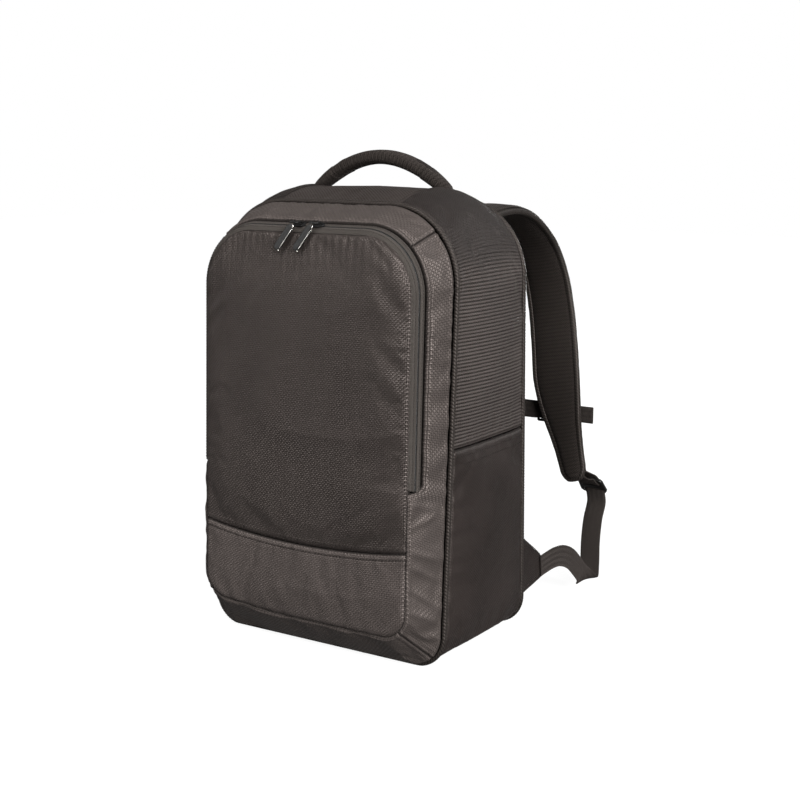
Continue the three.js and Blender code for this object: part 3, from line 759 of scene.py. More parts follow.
def body_shell():
    # The top panel takes the darker copy of the oxford cloth, as painted shade on the bag's top.
    _, grid, normal = panel("top_panel", gusset(*TOP_SEAMS, 46), wall_relief(1, 0.3, 0.4), "top", "pack_body",
                            "top_gusset", ALONG_Z, sim=dict(pressure=0.4, spare=0.002, cap=1.5))
    lines = lines_on(grid, normal, (3, -4))
    for hand, sign in SIDES:
        seam = on_side(BODY, SIDE_SEAM_HEIGHT, sign > 0)
        upper = (seam, 8 + TOP_SEAMS[0]) if sign > 0 else (seam, TOP_SEAMS[1])
        lower = (seam, BASE_SEAMS[1]) if sign > 0 else (seam, BASE_SEAMS[0])
        puffed = dict(pressure=1.0, spare=0.003, cap=6)
        panel("side_upper_" + hand, gusset(*upper, 50), wall_relief(3 + sign, 3.0, 0.8), "ribbed",
              "pack_body", "side_gusset_upper_" + hand, (sign, 0, 0), sim=puffed)
        _, grid, normal = panel("side_lower_" + hand, gusset(*lower, 44), wall_relief(7 + sign, 5.0, 1.0),
                                "dark", "pack_body", "side_gusset_lower_" + hand, (sign, 0, 0), sim=puffed)
        lines += lines_on(grid, normal, (3, 6))
    _, grid, normal = panel("base_cloth", gusset(*BASE_SEAMS, 50), wall_relief(11, -0.4, 0.4), "dark",
                            "pack_body", "base_panel", (0, 0, -1))
    stitches("body_stitching", lines + lines_on(grid, normal, (4, -5)), "pack_body")


def piping(name, y, node):
    """Cord bound into the edge seam, with the slanting ridges of its binding."""
    count, ring = 900, 14
    proud = 1.3  # how far the cord's middle stands outside the seam
    q = np.linspace(0, 8, 521)
    x, z = rim(CORD, q)
    path = even(settle(x, y + 0 * x, z), count)[:-1]
    tangent = unit(np.roll(path, -1, axis=0) - np.roll(path, 1, axis=0))
    deep = unit(np.array(ALONG_Y) - tangent[:, 1:2] * tangent)
    out = np.cross(deep, tangent)
    around = np.linspace(0, 2 * math.pi, ring, endpoint=False)
    s = lengths(path)[:, None]
    radius = PIPING_RADIUS + 0.35 + 0.16 * np.sin(2 * math.pi * s / 3.1 + around)
    spokes = out[:, None] * np.cos(around)[:, None] + deep[:, None] * np.sin(around)[:, None]
    points = path[:, None] + proud * out[:, None] + radius[..., None] * spokes
    last = (count - 1) * ring
    closing = [[last + j, last + (j + 1) % ring, (j + 1) % ring, j] for j in range(ring)]
    faces = grid_faces(count, ring, closed=True).tolist() + closing
    uv = np.stack(np.broadcast_arrays(around * PIPING_RADIUS, s), axis=-1)
    declare(make_object(name, points, faces, "piping", "pack_body", uv), node)


# ---- Front compartment -------------------------------------------------------------------------

def base_lift(x, z):
    """The front compartment's foot is raised a little at its left end."""
    return 6 * smoothstep(20, 135, -x) * (1 - smoothstep(36, 130, z))


def border(first, last, rows, columns=13):
    """Sloping panel from the front piping to the zip, or to the face below the zip's ends."""
    q = np.linspace(first, last, rows)[:, None]
    v = np.linspace(0, 1, columns)[None, :]
    x0, z0 = rim(inset(BODY, 0.5), q)
    x_zip, z_zip = rim(ZIP, q)
    x_face, z_face = rim(FACE, q)
    zipped = smoothstep(ZIP_END_HEIGHT - 1.5, ZIP_END_HEIGHT + 1.5, z_zip)
    x1 = x_face + (x_zip - x_face) * zipped
    z1 = z_face + (z_zip - z_face) * zipped
    y1 = FACE_EDGE + (ZIP_EDGE - FACE_EDGE) * zipped
    z1 = z1 + base_lift(x1, z1)
    return settle(x0 + (x1 - x0) * v, PIPING_FRONT + (y1 - PIPING_FRONT) * v, z0 + (z1 - z0) * v)


# Each fold's height beside the face, and how far it drops on its way back to the piping.
FOLDS = ((176, 9), (158, -12), (134, 14), (112, 20), (92, 26), (74, 18))


def border_relief(seed):
    def relief(p, first, last, left, right):
        x, y, z = p[..., 0], p[..., 1], p[..., 2]
        ends = nearest(first, last)
        crown = np.sin(math.pi * np.clip(left / (left + right), 0, 1)) ** 0.7
        zipped = smoothstep(ZIP_END_HEIGHT - 4, ZIP_END_HEIGHT + 4, z)
        hem = 1.9 * bell(right, 2.2, 1.5) - 0.9 * bell(right, 5.6, 1.1) - 3.5 * bell(right, 0, 0.9)
        out = edge_dip(left, 3.2, 1.9) + crown + edge_dip(ends, 1.4, 1.5)
        out = out + zipped * hem + (1 - zipped) * edge_dip(right, 2.0, 1.7)
        calm = smoothstep(0, 8, ends) * smoothstep(0, 6, left) * smoothstep(0, 6, right)
        folds = 0.0
        for k, (high, drop) in enumerate(FOLDS):
            high = high + 5 * math.sin(seed * 2.1 + k * 1.7)
            folds = folds + crease(y, z, (-120, high), (-88, high - drop), 3.4)
        folds = folds * (1 - smoothstep(150, 215, z)) * np.where(x > 120, 1.0, 0.35) * (np.abs(x) > 120)
        waves = crumple(p, 48, seed, (1, 1, 0.6)) ** 2
        return out + calm * (0.5 * waves + 1.7 * folds) + 0.12 * noise(p, 8, seed)
    return relief


def face_edge_distance(x, z):
    """Distance inside the face's rounded outline."""
    half, top, base, top_radius, base_radius = FACE
    upper = z > (top + base) / 2
    radius = np.where(upper, float(top_radius), float(base_radius))
    inside_x = np.abs(x) - (half - radius)
    inside_z = np.where(upper, z - top + top_radius, base + base_radius - z)
    outside = np.hypot(np.maximum(inside_x, 0), np.maximum(inside_z, 0))
    return radius - outside - np.minimum(np.maximum(inside_x, inside_z), 0)


def band_seam(x):
    """The lower band's top seam sags a little in the middle."""
    return BAND_SEAM_HEIGHT - 3 + 10 * (x / FACE[0]) ** 2


def face_grid(heights, columns=54):
    z = heights[:, None]
    x = np.linspace(-1, 1, columns)[None, :] * half_width(FACE, z)
    near_seam = smoothstep(66, BAND_SEAM_HEIGHT, z) * (1 - smoothstep(BAND_SEAM_HEIGHT, 210, z))
    z = z + (band_seam(x) - BAND_SEAM_HEIGHT) * near_seam + base_lift(x, z)
    return settle(x, FACE_EDGE + 0 * x, z)


def face_relief(p, *_):
    x, z = p[..., 0], p[..., 2]
    edge = face_edge_distance(x, z)
    above_band = z - band_seam(x)
    out = swell(edge, 5.6, 2.2) - 4.0 + swell(edge, 3.4, 25) * smoothstep(0, 70, above_band)
    out = out + edge_dip(above_band, 2.0, 2.0)
    # Gathers: the cloth is eased into the zip, so it puckers square to the seam.
    top = FACE[1] - z
    wander = 3.5 * noise(p, 30, 21) + 1.2 * noise(p, 9, 22)
    gather = np.sin(2 * math.pi * (x + wander) / (8.5 + 1.5 * noise(p * ALONG_X, 60, 23)))
    strength = 0.55 + 0.45 * noise(p * [1, 0, 0.35], 26, 24)
    out = out + 0.95 * gather * strength * np.exp(-top / 26) * smoothstep(1, 6, top)
    side = FACE[0] - np.abs(x)
    pucker = np.sin(2 * math.pi * (z + 5 * noise(p, 34, 25)) / 15)
    strength = 0.5 + 0.5 * noise(p * [0.3, 0, 1], 30, 26)
    out = out + 0.35 * pucker * strength * np.exp(-side / 13) * smoothstep(1, 5, side)
    # Broad hollows and soft folds of the hanging cloth.
    calm = smoothstep(0, 22, nearest(edge, above_band))
    folds = crumple(p, 90, 27, (1.3, 1, 0.8)) ** 2 + 0.15 * crumple(p, 34, 28) ** 3
    hollow = bell(x, 104, 22) * bell(z, 352, 15) + 0.7 * bell(x, 98, 24) * bell(z, 215, 26)
    hollow = hollow + 0.6 * bell(x, -112, 9) * bell(z, 395, 45) + 0.5 * bell(x, -118, 12) * bell(z, 205, 14)
    under_pulls = smoothstep(-112, -80, x) * (1 - smoothstep(60, 92, x)) * bell(z, 420, 24)
    return out + calm * (1.6 * folds - 0.7) - 1.5 * hollow - 3.2 * under_pulls + 0.06 * noise(p, 8, 29)


def band_relief(p, *_):
    x, z = p[..., 0], p[..., 2]
    edge = face_edge_distance(x, z - base_lift(x, z))
    below = band_seam(x) - z
    calm = smoothstep(0, 14, nearest(edge, below))
    return (swell(edge, 5.2, 2.2) + swell(edge, 1.5, 30) - 4.0 + edge_dip(below, 1.6, 1.8)
            - 0.5 * bell(below, 7, 1.2) + calm * (0.9 * crumple(p, 60, 31, (2, 1, 0.7)) ** 2 - 0.4))


def bend_with_flap(piece):
    """Bakes the piece's placement into its mesh."""
    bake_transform(piece)


def front_compartment():
    firm = dict(pressure=0.6, spare=0.004, frames=14)
    borders = (("border_top", 0.5, 70, (0, -0.3, 1)), ("border_left", 2.5, 96, (-1, -0.3, 0)),
               ("border_bottom", 4.5, 62, (0, -0.3, -1)), ("border_right", 6.5, 96, (1, -0.3, 0)))
    for seed, (name, first, rows, outward) in enumerate(borders):
        panel(name + "_cloth", border(first, first + 2, rows), border_relief(40 + seed), "coarse",
              "pack_body", name, outward, sim=dict(cap=3, **firm))
    round_off = FACE[3] * np.sin(np.linspace(0, math.pi / 2, 16))
    straight = np.linspace(BAND_SEAM_HEIGHT, FACE[1] - FACE[3], 60)
    heights = np.concatenate([straight[:-1], straight[-1] + round_off])
    face, grid, normal = panel("front_face", face_grid(heights), face_relief, "oxford", None,
                               "flap_face front_face_foot", (0, -1, 0),
                               sim=dict(pressure=0.45, spare=0.003, cap=4))
    bend_with_flap(face)
    lines = lines_on(grid, normal, (), (2, -3), slice(8, -30)) + lines_on(grid, normal, (4,))
    bend_with_flap(stitches("face_stitching", lines, None))
    corner = FACE[2] + FACE[4]
    foot = corner - FACE[4] * np.sin(np.linspace(0, math.pi / 2, 10))[::-1]
    heights = np.concatenate([foot, np.linspace(corner, BAND_SEAM_HEIGHT, 14)[1:]])
    _, grid, normal = panel("front_band", face_grid(heights), band_relief, "satin", "pack_body",
                            "front_lower_band", (0, -1, 0), sim=dict(cap=4, **firm))
    stitches("band_stitching", lines_on(grid, normal, (-5,)), "pack_body")


# ---- Zip ---------------------------------------------------------------------------------------

SLIDER_X = 12
PULL_LENGTH = 34
PULL_LEAN = 0.6
BAR_REACH = 11.2
BAR_LIFT = 4.5


def zip_normal(q):
    """The way the zip strip faces at each place of the outline."""
    x0, z0 = rim(ZIP, q)
    x1, z1 = rim(FACE, q)
    outer = settle(x0, ZIP_EDGE + 0 * x0, z0)
    inner = settle(x1, FACE_EDGE + 0 * x1, z1)
    along = unit(np.gradient((outer + inner) / 2, axis=0))
    n = unit(np.cross(along, inner - outer))
    return n * np.where(n[:, 1:2] > 0, -1, 1)


def zip_strip():
    """Two tapes sewn to the border and to the face, with the coil's teeth between them."""
    right = on_side(ZIP, ZIP_END_HEIGHT - 1.5, True)
    left = on_side(ZIP, ZIP_END_HEIGHT - 1.5, False)
    turns = [np.linspace(k, k + 1, 40)[:-1] for k in (8, 9, 10)]
    q = np.concatenate([np.linspace(right, 8, 60)[:-1], *turns, np.linspace(11, 8 + left, 60)])
    normal = zip_normal(q)

    def line(t, lift):
        """The line at a share t of the way from the border to the face."""
        shape = np.array(ZIP, float)
        x, z = rim(tuple(shape + (np.array(FACE, float) - shape) * t), q)
        return settle(x, ZIP_EDGE + (FACE_EDGE - ZIP_EDGE) * t + 0 * x, z) + normal * lift

    tapes = (("outer", "zip_tape_body", (0.02, 0.47), "pack_body"),
             ("inner", "zip_tape_flap", (0.98, 0.53), "front_flap"))
    for name, node, span, body in tapes:
        spans = np.linspace(*span, 9)
        share = np.abs(spans - spans[0]) / 0.45
        profile = 0.9 * smoothstep(0.15, 0.6, share) - 0.5 * smoothstep(0.9, 1.0, share)
        profile = profile - 2.2 * bell(share, 0, 0.14)
        grid = np.stack([line(t, h) for t, h in zip(spans, profile)], axis=1)
        panel("zip_tape_" + name, grid, uneven(0, 1, 0), "tape", body, node, (0, -0.2, 1), thickness=1.0,
              factor=2)
        stitches("zip_tape_" + name + "_stitching", [(grid[:, 4], normal)], body, 2.2, 1.0, 0.35)
    for name, t, body, phase in (("outer", 0.485, "pack_body", 0.0), ("inner", 0.515, "front_flap", 0.5)):
        teeth("zip_teeth_" + name, line(t, 0.2), normal, body, phase)


def teeth(name, path, normal, body, phase):
    s = lengths(path)
    pitch = 1.9
    vertices, faces = [], []
    for centre in np.arange(pitch * (1 + phase), s[-1] - pitch, pitch):
        p = at_length(path, s, centre)
        n = unit(at_length(normal, s, centre))
        along = unit(at_length(path, s, centre + 0.5) - p)
        across = np.cross(n, along)
        faces += block_faces(len(vertices))
        for side, size in ((-1.15, 0.7), (-0.4, 1.0), (0.4, 1.0), (1.15, 0.7)):
            for a, b in ((1, 0), (0.6, 0.8), (-0.6, 0.8), (-1, 0)):
                vertices.append(p + across * side + along * a * 0.6 * size + n * b * 0.9 * size)
    declare(make_object(name, vertices, faces, "coil", body))


def zip_sliders():
    seat = settle(np.array(0.0), np.array((ZIP_EDGE + FACE_EDGE) / 2), np.array((ZIP[1] + FACE[1]) / 2))
    slope = math.atan2(ZIP[1] - FACE[1], ZIP_EDGE - FACE_EDGE)
    for hand, sign in SIDES:
        body = "zip_slider_" + hand
        base = seat + [sign * SLIDER_X, 0, 0]
        pivot = base + [0, -BAR_REACH, BAR_LIFT]
        tilt = shifted(*base) @ turned(slope, "X")
        flank = [(-7, 3.2), (-5, 4.6), (2, 4.4), (6.6, 2.6), (7.4, 1)]
        outline = [(x * sign, -y) for x, y in flank] + [(x * sign, y) for x, y in flank[::-1]]
        parts = [solid("plate", outline, 1.5, "enamel", body, 0.5, tilt @ shifted(0, 0, 2.4)),
                 solid("hump", rounded(-4.4, -2.4, 4.4, 2.4, 1.6), 1.6, "enamel", body, 0.6,
                       tilt @ shifted(0, 0, 3.6))]
        for side in (-4.6, 4.6):
            leg = [base + [side, -1.5, 3.2], base + [side, -BAR_REACH / 2, BAR_LIFT + 0.9],
                   pivot + [side, 0, 0]]
            parts.append(tube("leg", spline(leg, 12), 0.95, "enamel", body))
        parts.append(tube("bar", [pivot + [-4.6, 0, 0], pivot + [4.6, 0, 0]], 0.9, "enamel", body))
        joined("slider_" + hand, parts, "zip_slider_" + hand)
        zip_pull(hand, pivot)


def zip_pull(hand, pivot):
    """A dark blade that hangs from an eye, with a bright rod down one edge."""
    body = "zip_pull_" + hand
    hang = shifted(*pivot) @ turned(PULL_LEAN, "Y") @ turned(-0.17, "X")
    turn = np.array(hang.to_3x3())

    def at(*place):
        return pivot + turn @ np.array(place, float)

    def rod(name, start, end, radius):
        return tube(name, [at(*start), at(*end)], radius, "bright", body)

    end = PULL_LENGTH
    left_edge = [(-1.6, -2.8), (-3.2, -5.2), (-3.6, -8), (-3.7, 4.5 - end), (-2.9, 1.6 - end),
                 (-1.2, 0.3 - end)]
    right_edge = [(1.0, 0.3 - end), (2.4, 1.6 - end), (2.9, 4.5 - end), (2.7, -8), (2.5, -5.2), (1.6, -2.8)]
    outline = left_edge + right_edge
    blade = solid("blade", outline, 1.7, "enamel", body, 0.55, hang @ turned(math.pi / 2, "X"))
    eye = [at(0, 2.6 * math.cos(a), 2.6 * math.sin(a)) for a in np.linspace(0, 2 * math.pi, 25)]
    joined("pull_" + hand, [blade, tube("eye", eye, 0.75, "enamel", body)], body)
    joined("pull_rod_" + hand, [rod("rod", (3.4, -0.3, -5.5), (3.5, -0.3, 3.2 - end), 0.95),
                                rod("knob", (3.5, -0.3, 2.6 - end), (3.5, -0.3, 0.4 - end), 1.3),
                                rod("head", (1.4, -0.4, -1.6), (3.3, -0.4, -5.6), 0.9)])


# ---- Handle ------------------------------------------------------------------------------------

HANDLE_HALF_SPAN = 74
HANDLE_Y = 28
HANDLE_FOOT = HEIGHT + TOP_CROWN + 5
HANDLE_RISE = 28
HANDLE_OVERRUN = 1.13  # the handle's ends, as a share of its half span
HANDLE_STEPS = 110
GRIP = slice(14, -14)  # the padded part of the handle, clear of the top when it leans
FINE_THREAD = (2.2, 0.9, 0.4)  # a stitch's length, gap and radius on patches


def carry_handle():
    """Padded arch: mesh grip, smooth cloth over its ends, and feet that run down into the side seams."""
    share = np.linspace(-HANDLE_OVERRUN, HANDLE_OVERRUN, 120)
    rise = HANDLE_FOOT + HANDLE_RISE * (1 - share**2)
    route = even(np.stack([HANDLE_HALF_SPAN * share, HANDLE_Y + 0 * share, rise], axis=1), HANDLE_STEPS)
    share = np.abs(route[:, 0]) / HANDLE_HALF_SPAN
    arch = np.sqrt(np.clip(1 - (share / HANDLE_OVERRUN) ** 2, 0, 1))
    half = 7.5 + 6.5 * arch
    thick = 4.8 + 2.9 * arch
    route[:, 2] -= 0.8 * arch
    ring = np.stack([oval(w, h, 2.5, 28) for w, h in zip(half, thick)])
    grip = strip("handle_grip_pad", route[GRIP], ALONG_Y, ring[GRIP], "mesh", "handle", "handle_grip")
    # Smooth cloth over the outer and rear side of each end.
    angle = np.linspace(-0.35 * math.pi, 0.60 * math.pi, 16)
    cover = np.stack([half[:, None] * 1.05 * np.cos(angle), (thick[:, None] + 0.7) * np.sin(angle)], axis=-1)
    _, wide, out = frames_along(route, ALONG_Y)
    wrap = route[:, None] + wide[:, None] * cover[..., :1] + out[:, None] * cover[..., 1:]
    for hand, part in (("left", slice(0, 20)), ("right", slice(-20, None))):
        strip("handle_foot_" + hand, route[part], ALONG_Y, ring[part] * [1.04, 1.08], "mesh", "handle")
    for hand, part in (("left", slice(14, 30)), ("right", slice(-30, -14))):
        panel("handle_wrap_" + hand, wrap[part], uneven(0.25, 9, 45), "dark", "handle", "", (0, 0.3, 1),
              thickness=0.9, factor=2)
    y = np.linspace(12, 34, 10)[None, :]
    for hand, ends in (("left", (2.22, 2.08)), ("right", (0.78, 0.92))):
        q = np.linspace(*ends, 10)[:, None]
        x, z = rim(inset(BODY, -0.9), q + 0 * y)
        relief = hemmed(0.6, 2, 0.4, 3.2, 0.9)
        _, grid, normal = panel("handle_patch_" + hand, settle(x, y + 0 * x, z), relief, "mesh", "pack_body",
                                "handle_tab_" + hand, ALONG_Z, thickness=1.2)
        stitches("handle_patch_stitching_" + hand, lines_on(grid, normal, (3, -4), (3, -4), slice(3, -3)),
                 "pack_body", *FINE_THREAD)


# ---- Back --------------------------------------------------------------------------------------

def rounded_patch(x0, z0, x1, z1, radius, rows, columns):
    """Grid over a rounded rectangle, with each point's distance from its edge."""
    shape = ((x1 - x0) / 2, z1, z0, radius, radius)
    z = heights_of(shape, rows, 6)[:, None]
    half = half_width(shape, z)
    x = np.linspace(-1, 1, columns)[None, :] * half
    z = z + 0 * x
    return x + (x0 + x1) / 2, z, nearest(half - np.abs(x), z - z0, z1 - z)


def back_pad(name, node, x0, z0, x1, z1, channels, axis):
    """Foam pad under mesh cloth: blown up from a flat panel, then quilted by channels sewn across an axis."""
    x, z, edge = rounded_patch(x0, z0, x1, z1, 20, int((z1 - z0) / 7), int((x1 - x0) / 6))

    def relief(p, *_):
        return 0.5 * noise(p, 30, 51) - 4.6 * sum(bell(p[..., axis], at, 4.0) for at in channels)

    domed = settle(x, HALF_DEPTH + 2.5 + swell(edge, 16, 3.5), z)
    pad, grid, _ = panel(name, domed, relief, "mesh", "pack_body", node, ALONG_Y, thickness=1.5,
                         sim=dict(pressure=3.0, spare=0.01, cap=6))
    outline = np.concatenate([grid[0], grid[1:, -1], grid[-1, -2::-1], grid[-2::-1, 0]])
    strip(name + "_binding", even(outline, 260), ALONG_Y, oval(1.6, 2.6, 2.2, 10), "piping", "pack_body")


def back():
    outline = inset(BODY, 1.5)
    z = heights_of(outline, 40)[:, None]
    x = np.linspace(-1, 1, 34)[None, :] * half_width(outline, z)
    panel("back_mesh", settle(x, HALF_DEPTH + 0.4 + 0 * x, z + 0 * x), uneven(0.5, 26, 61), "mesh",
          "pack_body", "back_panel", ALONG_Y, thickness=2.0)
    for hand, x0, x1 in (("left", -145, -18), ("right", 18, 145)):
        back_pad("back_cushion_" + hand, "back_pad_" + hand, x0, 142, x1, 404, (206, 272, 338), axis=2)
    back_pad("lumbar_cushion", "lumbar_pad", -140, 34, 140, 134, (-47, 47), axis=0)
    x, z, _ = rounded_patch(-104, 412, 104, 446, 9, 6, 40)
    _, grid, normal = panel("yoke", settle(x, HALF_DEPTH + 7 + 0 * x, z), hemmed(0.8, 3, 0.5, 4.5, 1.0),
                            "webbing", "pack_body", "strap_yoke", ALONG_Y, thickness=5.5)
    stitches("yoke_stitching", lines_on(grid, normal, (4, -5, 14), span=slice(4, -4)), "pack_body")


# ---- Harness -----------------------------------------------------------------------------------

# Points that the right side's straps pass, in millimetres.
STRAP_ROUTE = [
    (60, 87, 440), (60, 130, 450), (60, 184, 450), (62, 219, 438), (68, 252, 409), (75, 268, 371),
    (82, 271, 330), (90, 265, 290), (98, 257, 247), (106, 255, 209), (117, 257, 163), (127, 253, 131),
]
LOWER_ROUTE = [
    (139, 290, 96), (140, 279, 76), (143, 267, 50), (147, 258, 27), (150, 249, 13), (151, 236, 15),
    (151, 220, 30), (150, 198, 48), (148.5, 178, 56), (147, 162, 57), (146.4, 146, 56), (146.4, 132, 55),
]
LOCK = np.array([136, 283, 117], float)
LOCK_LEAN = 0.75
STERNUM_Y = 267.6
STERNUM_Z = 206
WING_X = 143.6
STRAP_HALF_WIDTH = 31
STRAP_WAIST = 3  # how much less its half width is halfway down
STRAP_TAPER = 17  # and how much less at its tip
PAD_SHARE = 0.95  # how much of the strap's width the pad takes; its binding covers the rest


def shoulder_strap(hand, sign):
    route = spline(mirrored(STRAP_ROUTE, sign), 150)
    arc = lengths(route)
    t = np.linspace(0, 1, len(route))
    round_off = np.clip(1 - (arc[-1] - arc) / 13, 0, 1)
    half = STRAP_HALF_WIDTH - STRAP_WAIST * np.sin(t * math.pi) - STRAP_TAPER * smoothstep(0.72, 1, t)
    half = half * np.sqrt(1 - 0.65 * round_off**2)
    strap_pad(hand, route, half * PAD_SHARE)
    strap_binding(hand, route, half * PAD_SHARE)
    lines = strap_cover(hand, route, half) + strap_web(hand, route)
    stitches("strap_stitching_" + hand, lines, "strap_" + hand, 2.4, 1.0, 0.4)


def strap_pad(hand, route, edge):
    """Foam pad: its face is crowned and its edges are pinched where the binding holds them."""
    angle = np.linspace(0, 2 * math.pi, 40, endpoint=False)
    c, s = np.cos(angle), np.sin(angle)
    flat = np.sign(c) * np.abs(c) ** 0.55
    crown = np.sign(s) * np.abs(s) ** 0.8
    ripple = 0.5 * np.sin(lengths(route) / 7.5)[:, None] * np.clip(-s, 0, 1)
    thick = 2.4 + 3.9 * np.sqrt(np.clip(1 - flat**2, 0, 1)) + 0.35 * noise(route, 22, 71)[:, None]
    ring = np.stack([edge[:, None] * flat, (thick + ripple) * crown], axis=-1)
    pad = strip("shoulder_pad_" + hand, route, ALONG_X, ring, "mesh", "strap_" + hand, "strap_pad_" + hand)


def strap_binding(hand, route, edge):
    """Tape folded over the pad's edge: down one side, round the tip and back up the other."""
    forward, wide, out = frames_along(route, ALONG_X)
    turn = np.linspace(0, math.pi, 13)[1:-1, None]
    tip = route[-1] + wide[-1] * np.cos(turn) * edge[-1] + forward[-1] * np.sin(turn) * 1.5
    side = wide * edge[:, None]
    path = np.vstack([route + side, tip, (route - side)[::-1]])
    out = np.vstack([out, np.repeat(out[-1:], len(tip), axis=0), out[::-1]])
    tangent = unit(np.gradient(path, axis=0))
    out = unit(out - np.sum(out * tangent, axis=1, keepdims=True) * tangent)
    wide = np.cross(out, tangent)
    ring = oval(3.3, 3.4, 3, 14)
    puff = 1 + 0.05 * noise(path, 5, 81)[:, None, None]
    vertices, faces = sweep(path[:, None] + (wide[:, None] * ring[:, :1] + out[:, None] * ring[:, 1:]) * puff)
    around = np.linspace(0, 20, len(ring))
    arc = lengths(path)[:, None]
    uv = np.stack(np.broadcast_arrays(around, arc), axis=-1).reshape(-1, 2)
    uv = np.vstack([uv, [[0, 0], [0, arc[-1, 0]]]])
    tape = make_object("strap_binding_" + hand, vertices, faces, "piping", "strap_" + hand, uv)
    declare(tape)


def strap_cover(hand, route, half):
    """Smooth cloth on the strap's outer face. Returns its lines of stitching."""
    _, wide, out = frames_along(route, ALONG_X)
    share = np.linspace(-0.93, 0.93, 15)
    lift = 3.6 + 4.2 * np.sqrt(1 - share**2)
    grid = route[:, None] + wide[:, None] * (half[:, None] * share)[..., None] - out[:, None] * lift[:, None]

    def relief(p, first, last, left, right):
        return 0.5 * noise(p, 20, 73) - 0.5 * bell(nearest(left, right), 2.5, 1.0)

    _, grid, normal = panel("strap_cover_" + hand, grid[::2], relief, "oxford", "strap_" + hand, "",
                            (0, 1, 0.5), thickness=1.2, factor=2)
    return lines_on(grid, normal, (), (3, -4))


def strap_web(hand, route):
    """Webbing sewn down the strap's outer face. Returns its lines of stitching."""
    sewn = slice(86, 150)
    _, wide, out = (way[sewn] for way in frames_along(route, ALONG_X))
    web = route[sewn] - out * 9.2
    strip("strap_web_" + hand, web, ALONG_X, oval(WEBBING_WIDTH / 2, 0.9, 6, 16), "webbing", "strap_" + hand,
          "strap_webbing_" + hand)
    top = web - out * 0.95
    lines = [(top + wide * offset, -out) for offset in (-10.2, 10.2)]
    for k in (0, 18, 36, 62):
        across = np.linspace(top[k] - wide[k] * 10, top[k] + wide[k] * 10, 8)
        lines.append((across, np.repeat(-out[k:k + 1], 8, axis=0)))
    return lines


def lock_frame(sign):
    return shifted(*(LOCK * [sign, 1, 1])) @ turned(math.pi / 2 + LOCK_LEAN, "X")


def at_lock(points):
    """Points given in the right lock's own frame, as points of the bag."""
    turn = np.array(lock_frame(1).to_3x3())
    return [tuple(LOCK + turn @ np.array(p)) for p in points]


def ladder_lock(hand, sign):
    body = "ladder_lock_" + hand
    outline = [(-16, 11), (-14, 13), (14, 13), (16, 11), (17, -9), (14, -13), (-14, -13), (-17, -9)]
    holes = [rounded(-13, z - 2.5, 13, z + 2.5, 0.8, 2) for z in (-6.5, 4.5)]
    parts = [solid("lock_plate", outline, 3.6, "plastic", body, 0.8, lock_frame(sign), holes)]
    for k, z in enumerate((-10.6, -11.8, -13.0)):
        rib = at_lock([(side * 12.5, z, 1.9 - 0.3 * k) for side in (-sign, sign)])
        parts.append(tube("rib", mirrored(rib, sign), 0.75, "plastic", body))
    joined("lock_" + hand, parts, body)


def lock_loop(hand, sign):
    """Webbing sewn into the strap's tip that passes round the lock's upper bar."""
    round_bar = [(-3.5, 16.0, -2.9), (-1.4, 10.0, -3.0), (0, 5.0, -1.6), (0, 5.0, 1.6), (-1.4, 10.0, 3.0),
                 (-3.5, 15.0, 3.2)]
    route = [(126.5, 254, 141), (129, 263, 137), *at_lock(round_bar), (129, 262, 129), (126.5, 254, 134)]
    loop = strip("lock_loop_" + hand, spline(mirrored(route, sign), 60), ALONG_X, oval(12, 0.8, 6, 16),
                 "webbing", None)
    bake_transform(loop)


def lower_webbing(hand, sign):
    """Webbing from the lock's lower bar down to the wing, which it reaches on edge."""
    over_bar = at_lock([(1.5, 5.0, 1.5), (1.5, 2.5, -2.6), (1.8, -3.5, -3.0), (2, -7.0, 0.5)])
    path = spline(mirrored(over_bar + LOWER_ROUTE, sign), 140)
    t = np.linspace(0, 1, len(path))
    angle = smoothstep(0.47, 0.60, t) * math.pi / 2
    across = np.stack([np.cos(angle), 0 * angle, np.sin(angle)], axis=1)
    ring = np.repeat(oval(WEBBING_WIDTH / 2, 0.85, 6, 18)[None], len(path), axis=0)
    cup = 0.9 * np.sin(t * 9)[:, None] * (1 - (ring[..., 0] / (WEBBING_WIDTH / 2)) ** 2)
    ring[..., 1] += cup + 0.5 * noise(path, 30, 91)[:, None]
    web = strip("lower_web_" + hand, path, across, ring, "webbing", None, "lower_webbing_" + hand)
    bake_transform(web)


def wing(hand, sign):
    """Stitched triangle of doubled cloth that holds the webbing's end at the foot of the back."""
    lower = np.linspace((90, 31), (157, 44), 16)
    upper = np.linspace((90, 100), (133, 70), 16)
    flat = np.linspace(lower, upper, 12)
    grid = np.concatenate([np.full((*flat.shape[:2], 1), sign * WING_X), flat], axis=-1)
    piece, grid, normal = panel("wing_cloth_" + hand, grid, hemmed(0.9, 2.5, 0.5, 4, 1, wrinkle=0.4), "dark",
                                "pack_body", "wing_" + hand, (sign, 0, 0), thickness=2.4)
    piece.data.materials[1] = materials["dark"]
    stitches("wing_stitching_" + hand, lines_on(grid, normal, (4, -5), (-5,), slice(3, -3)), "pack_body",
             *FINE_THREAD)


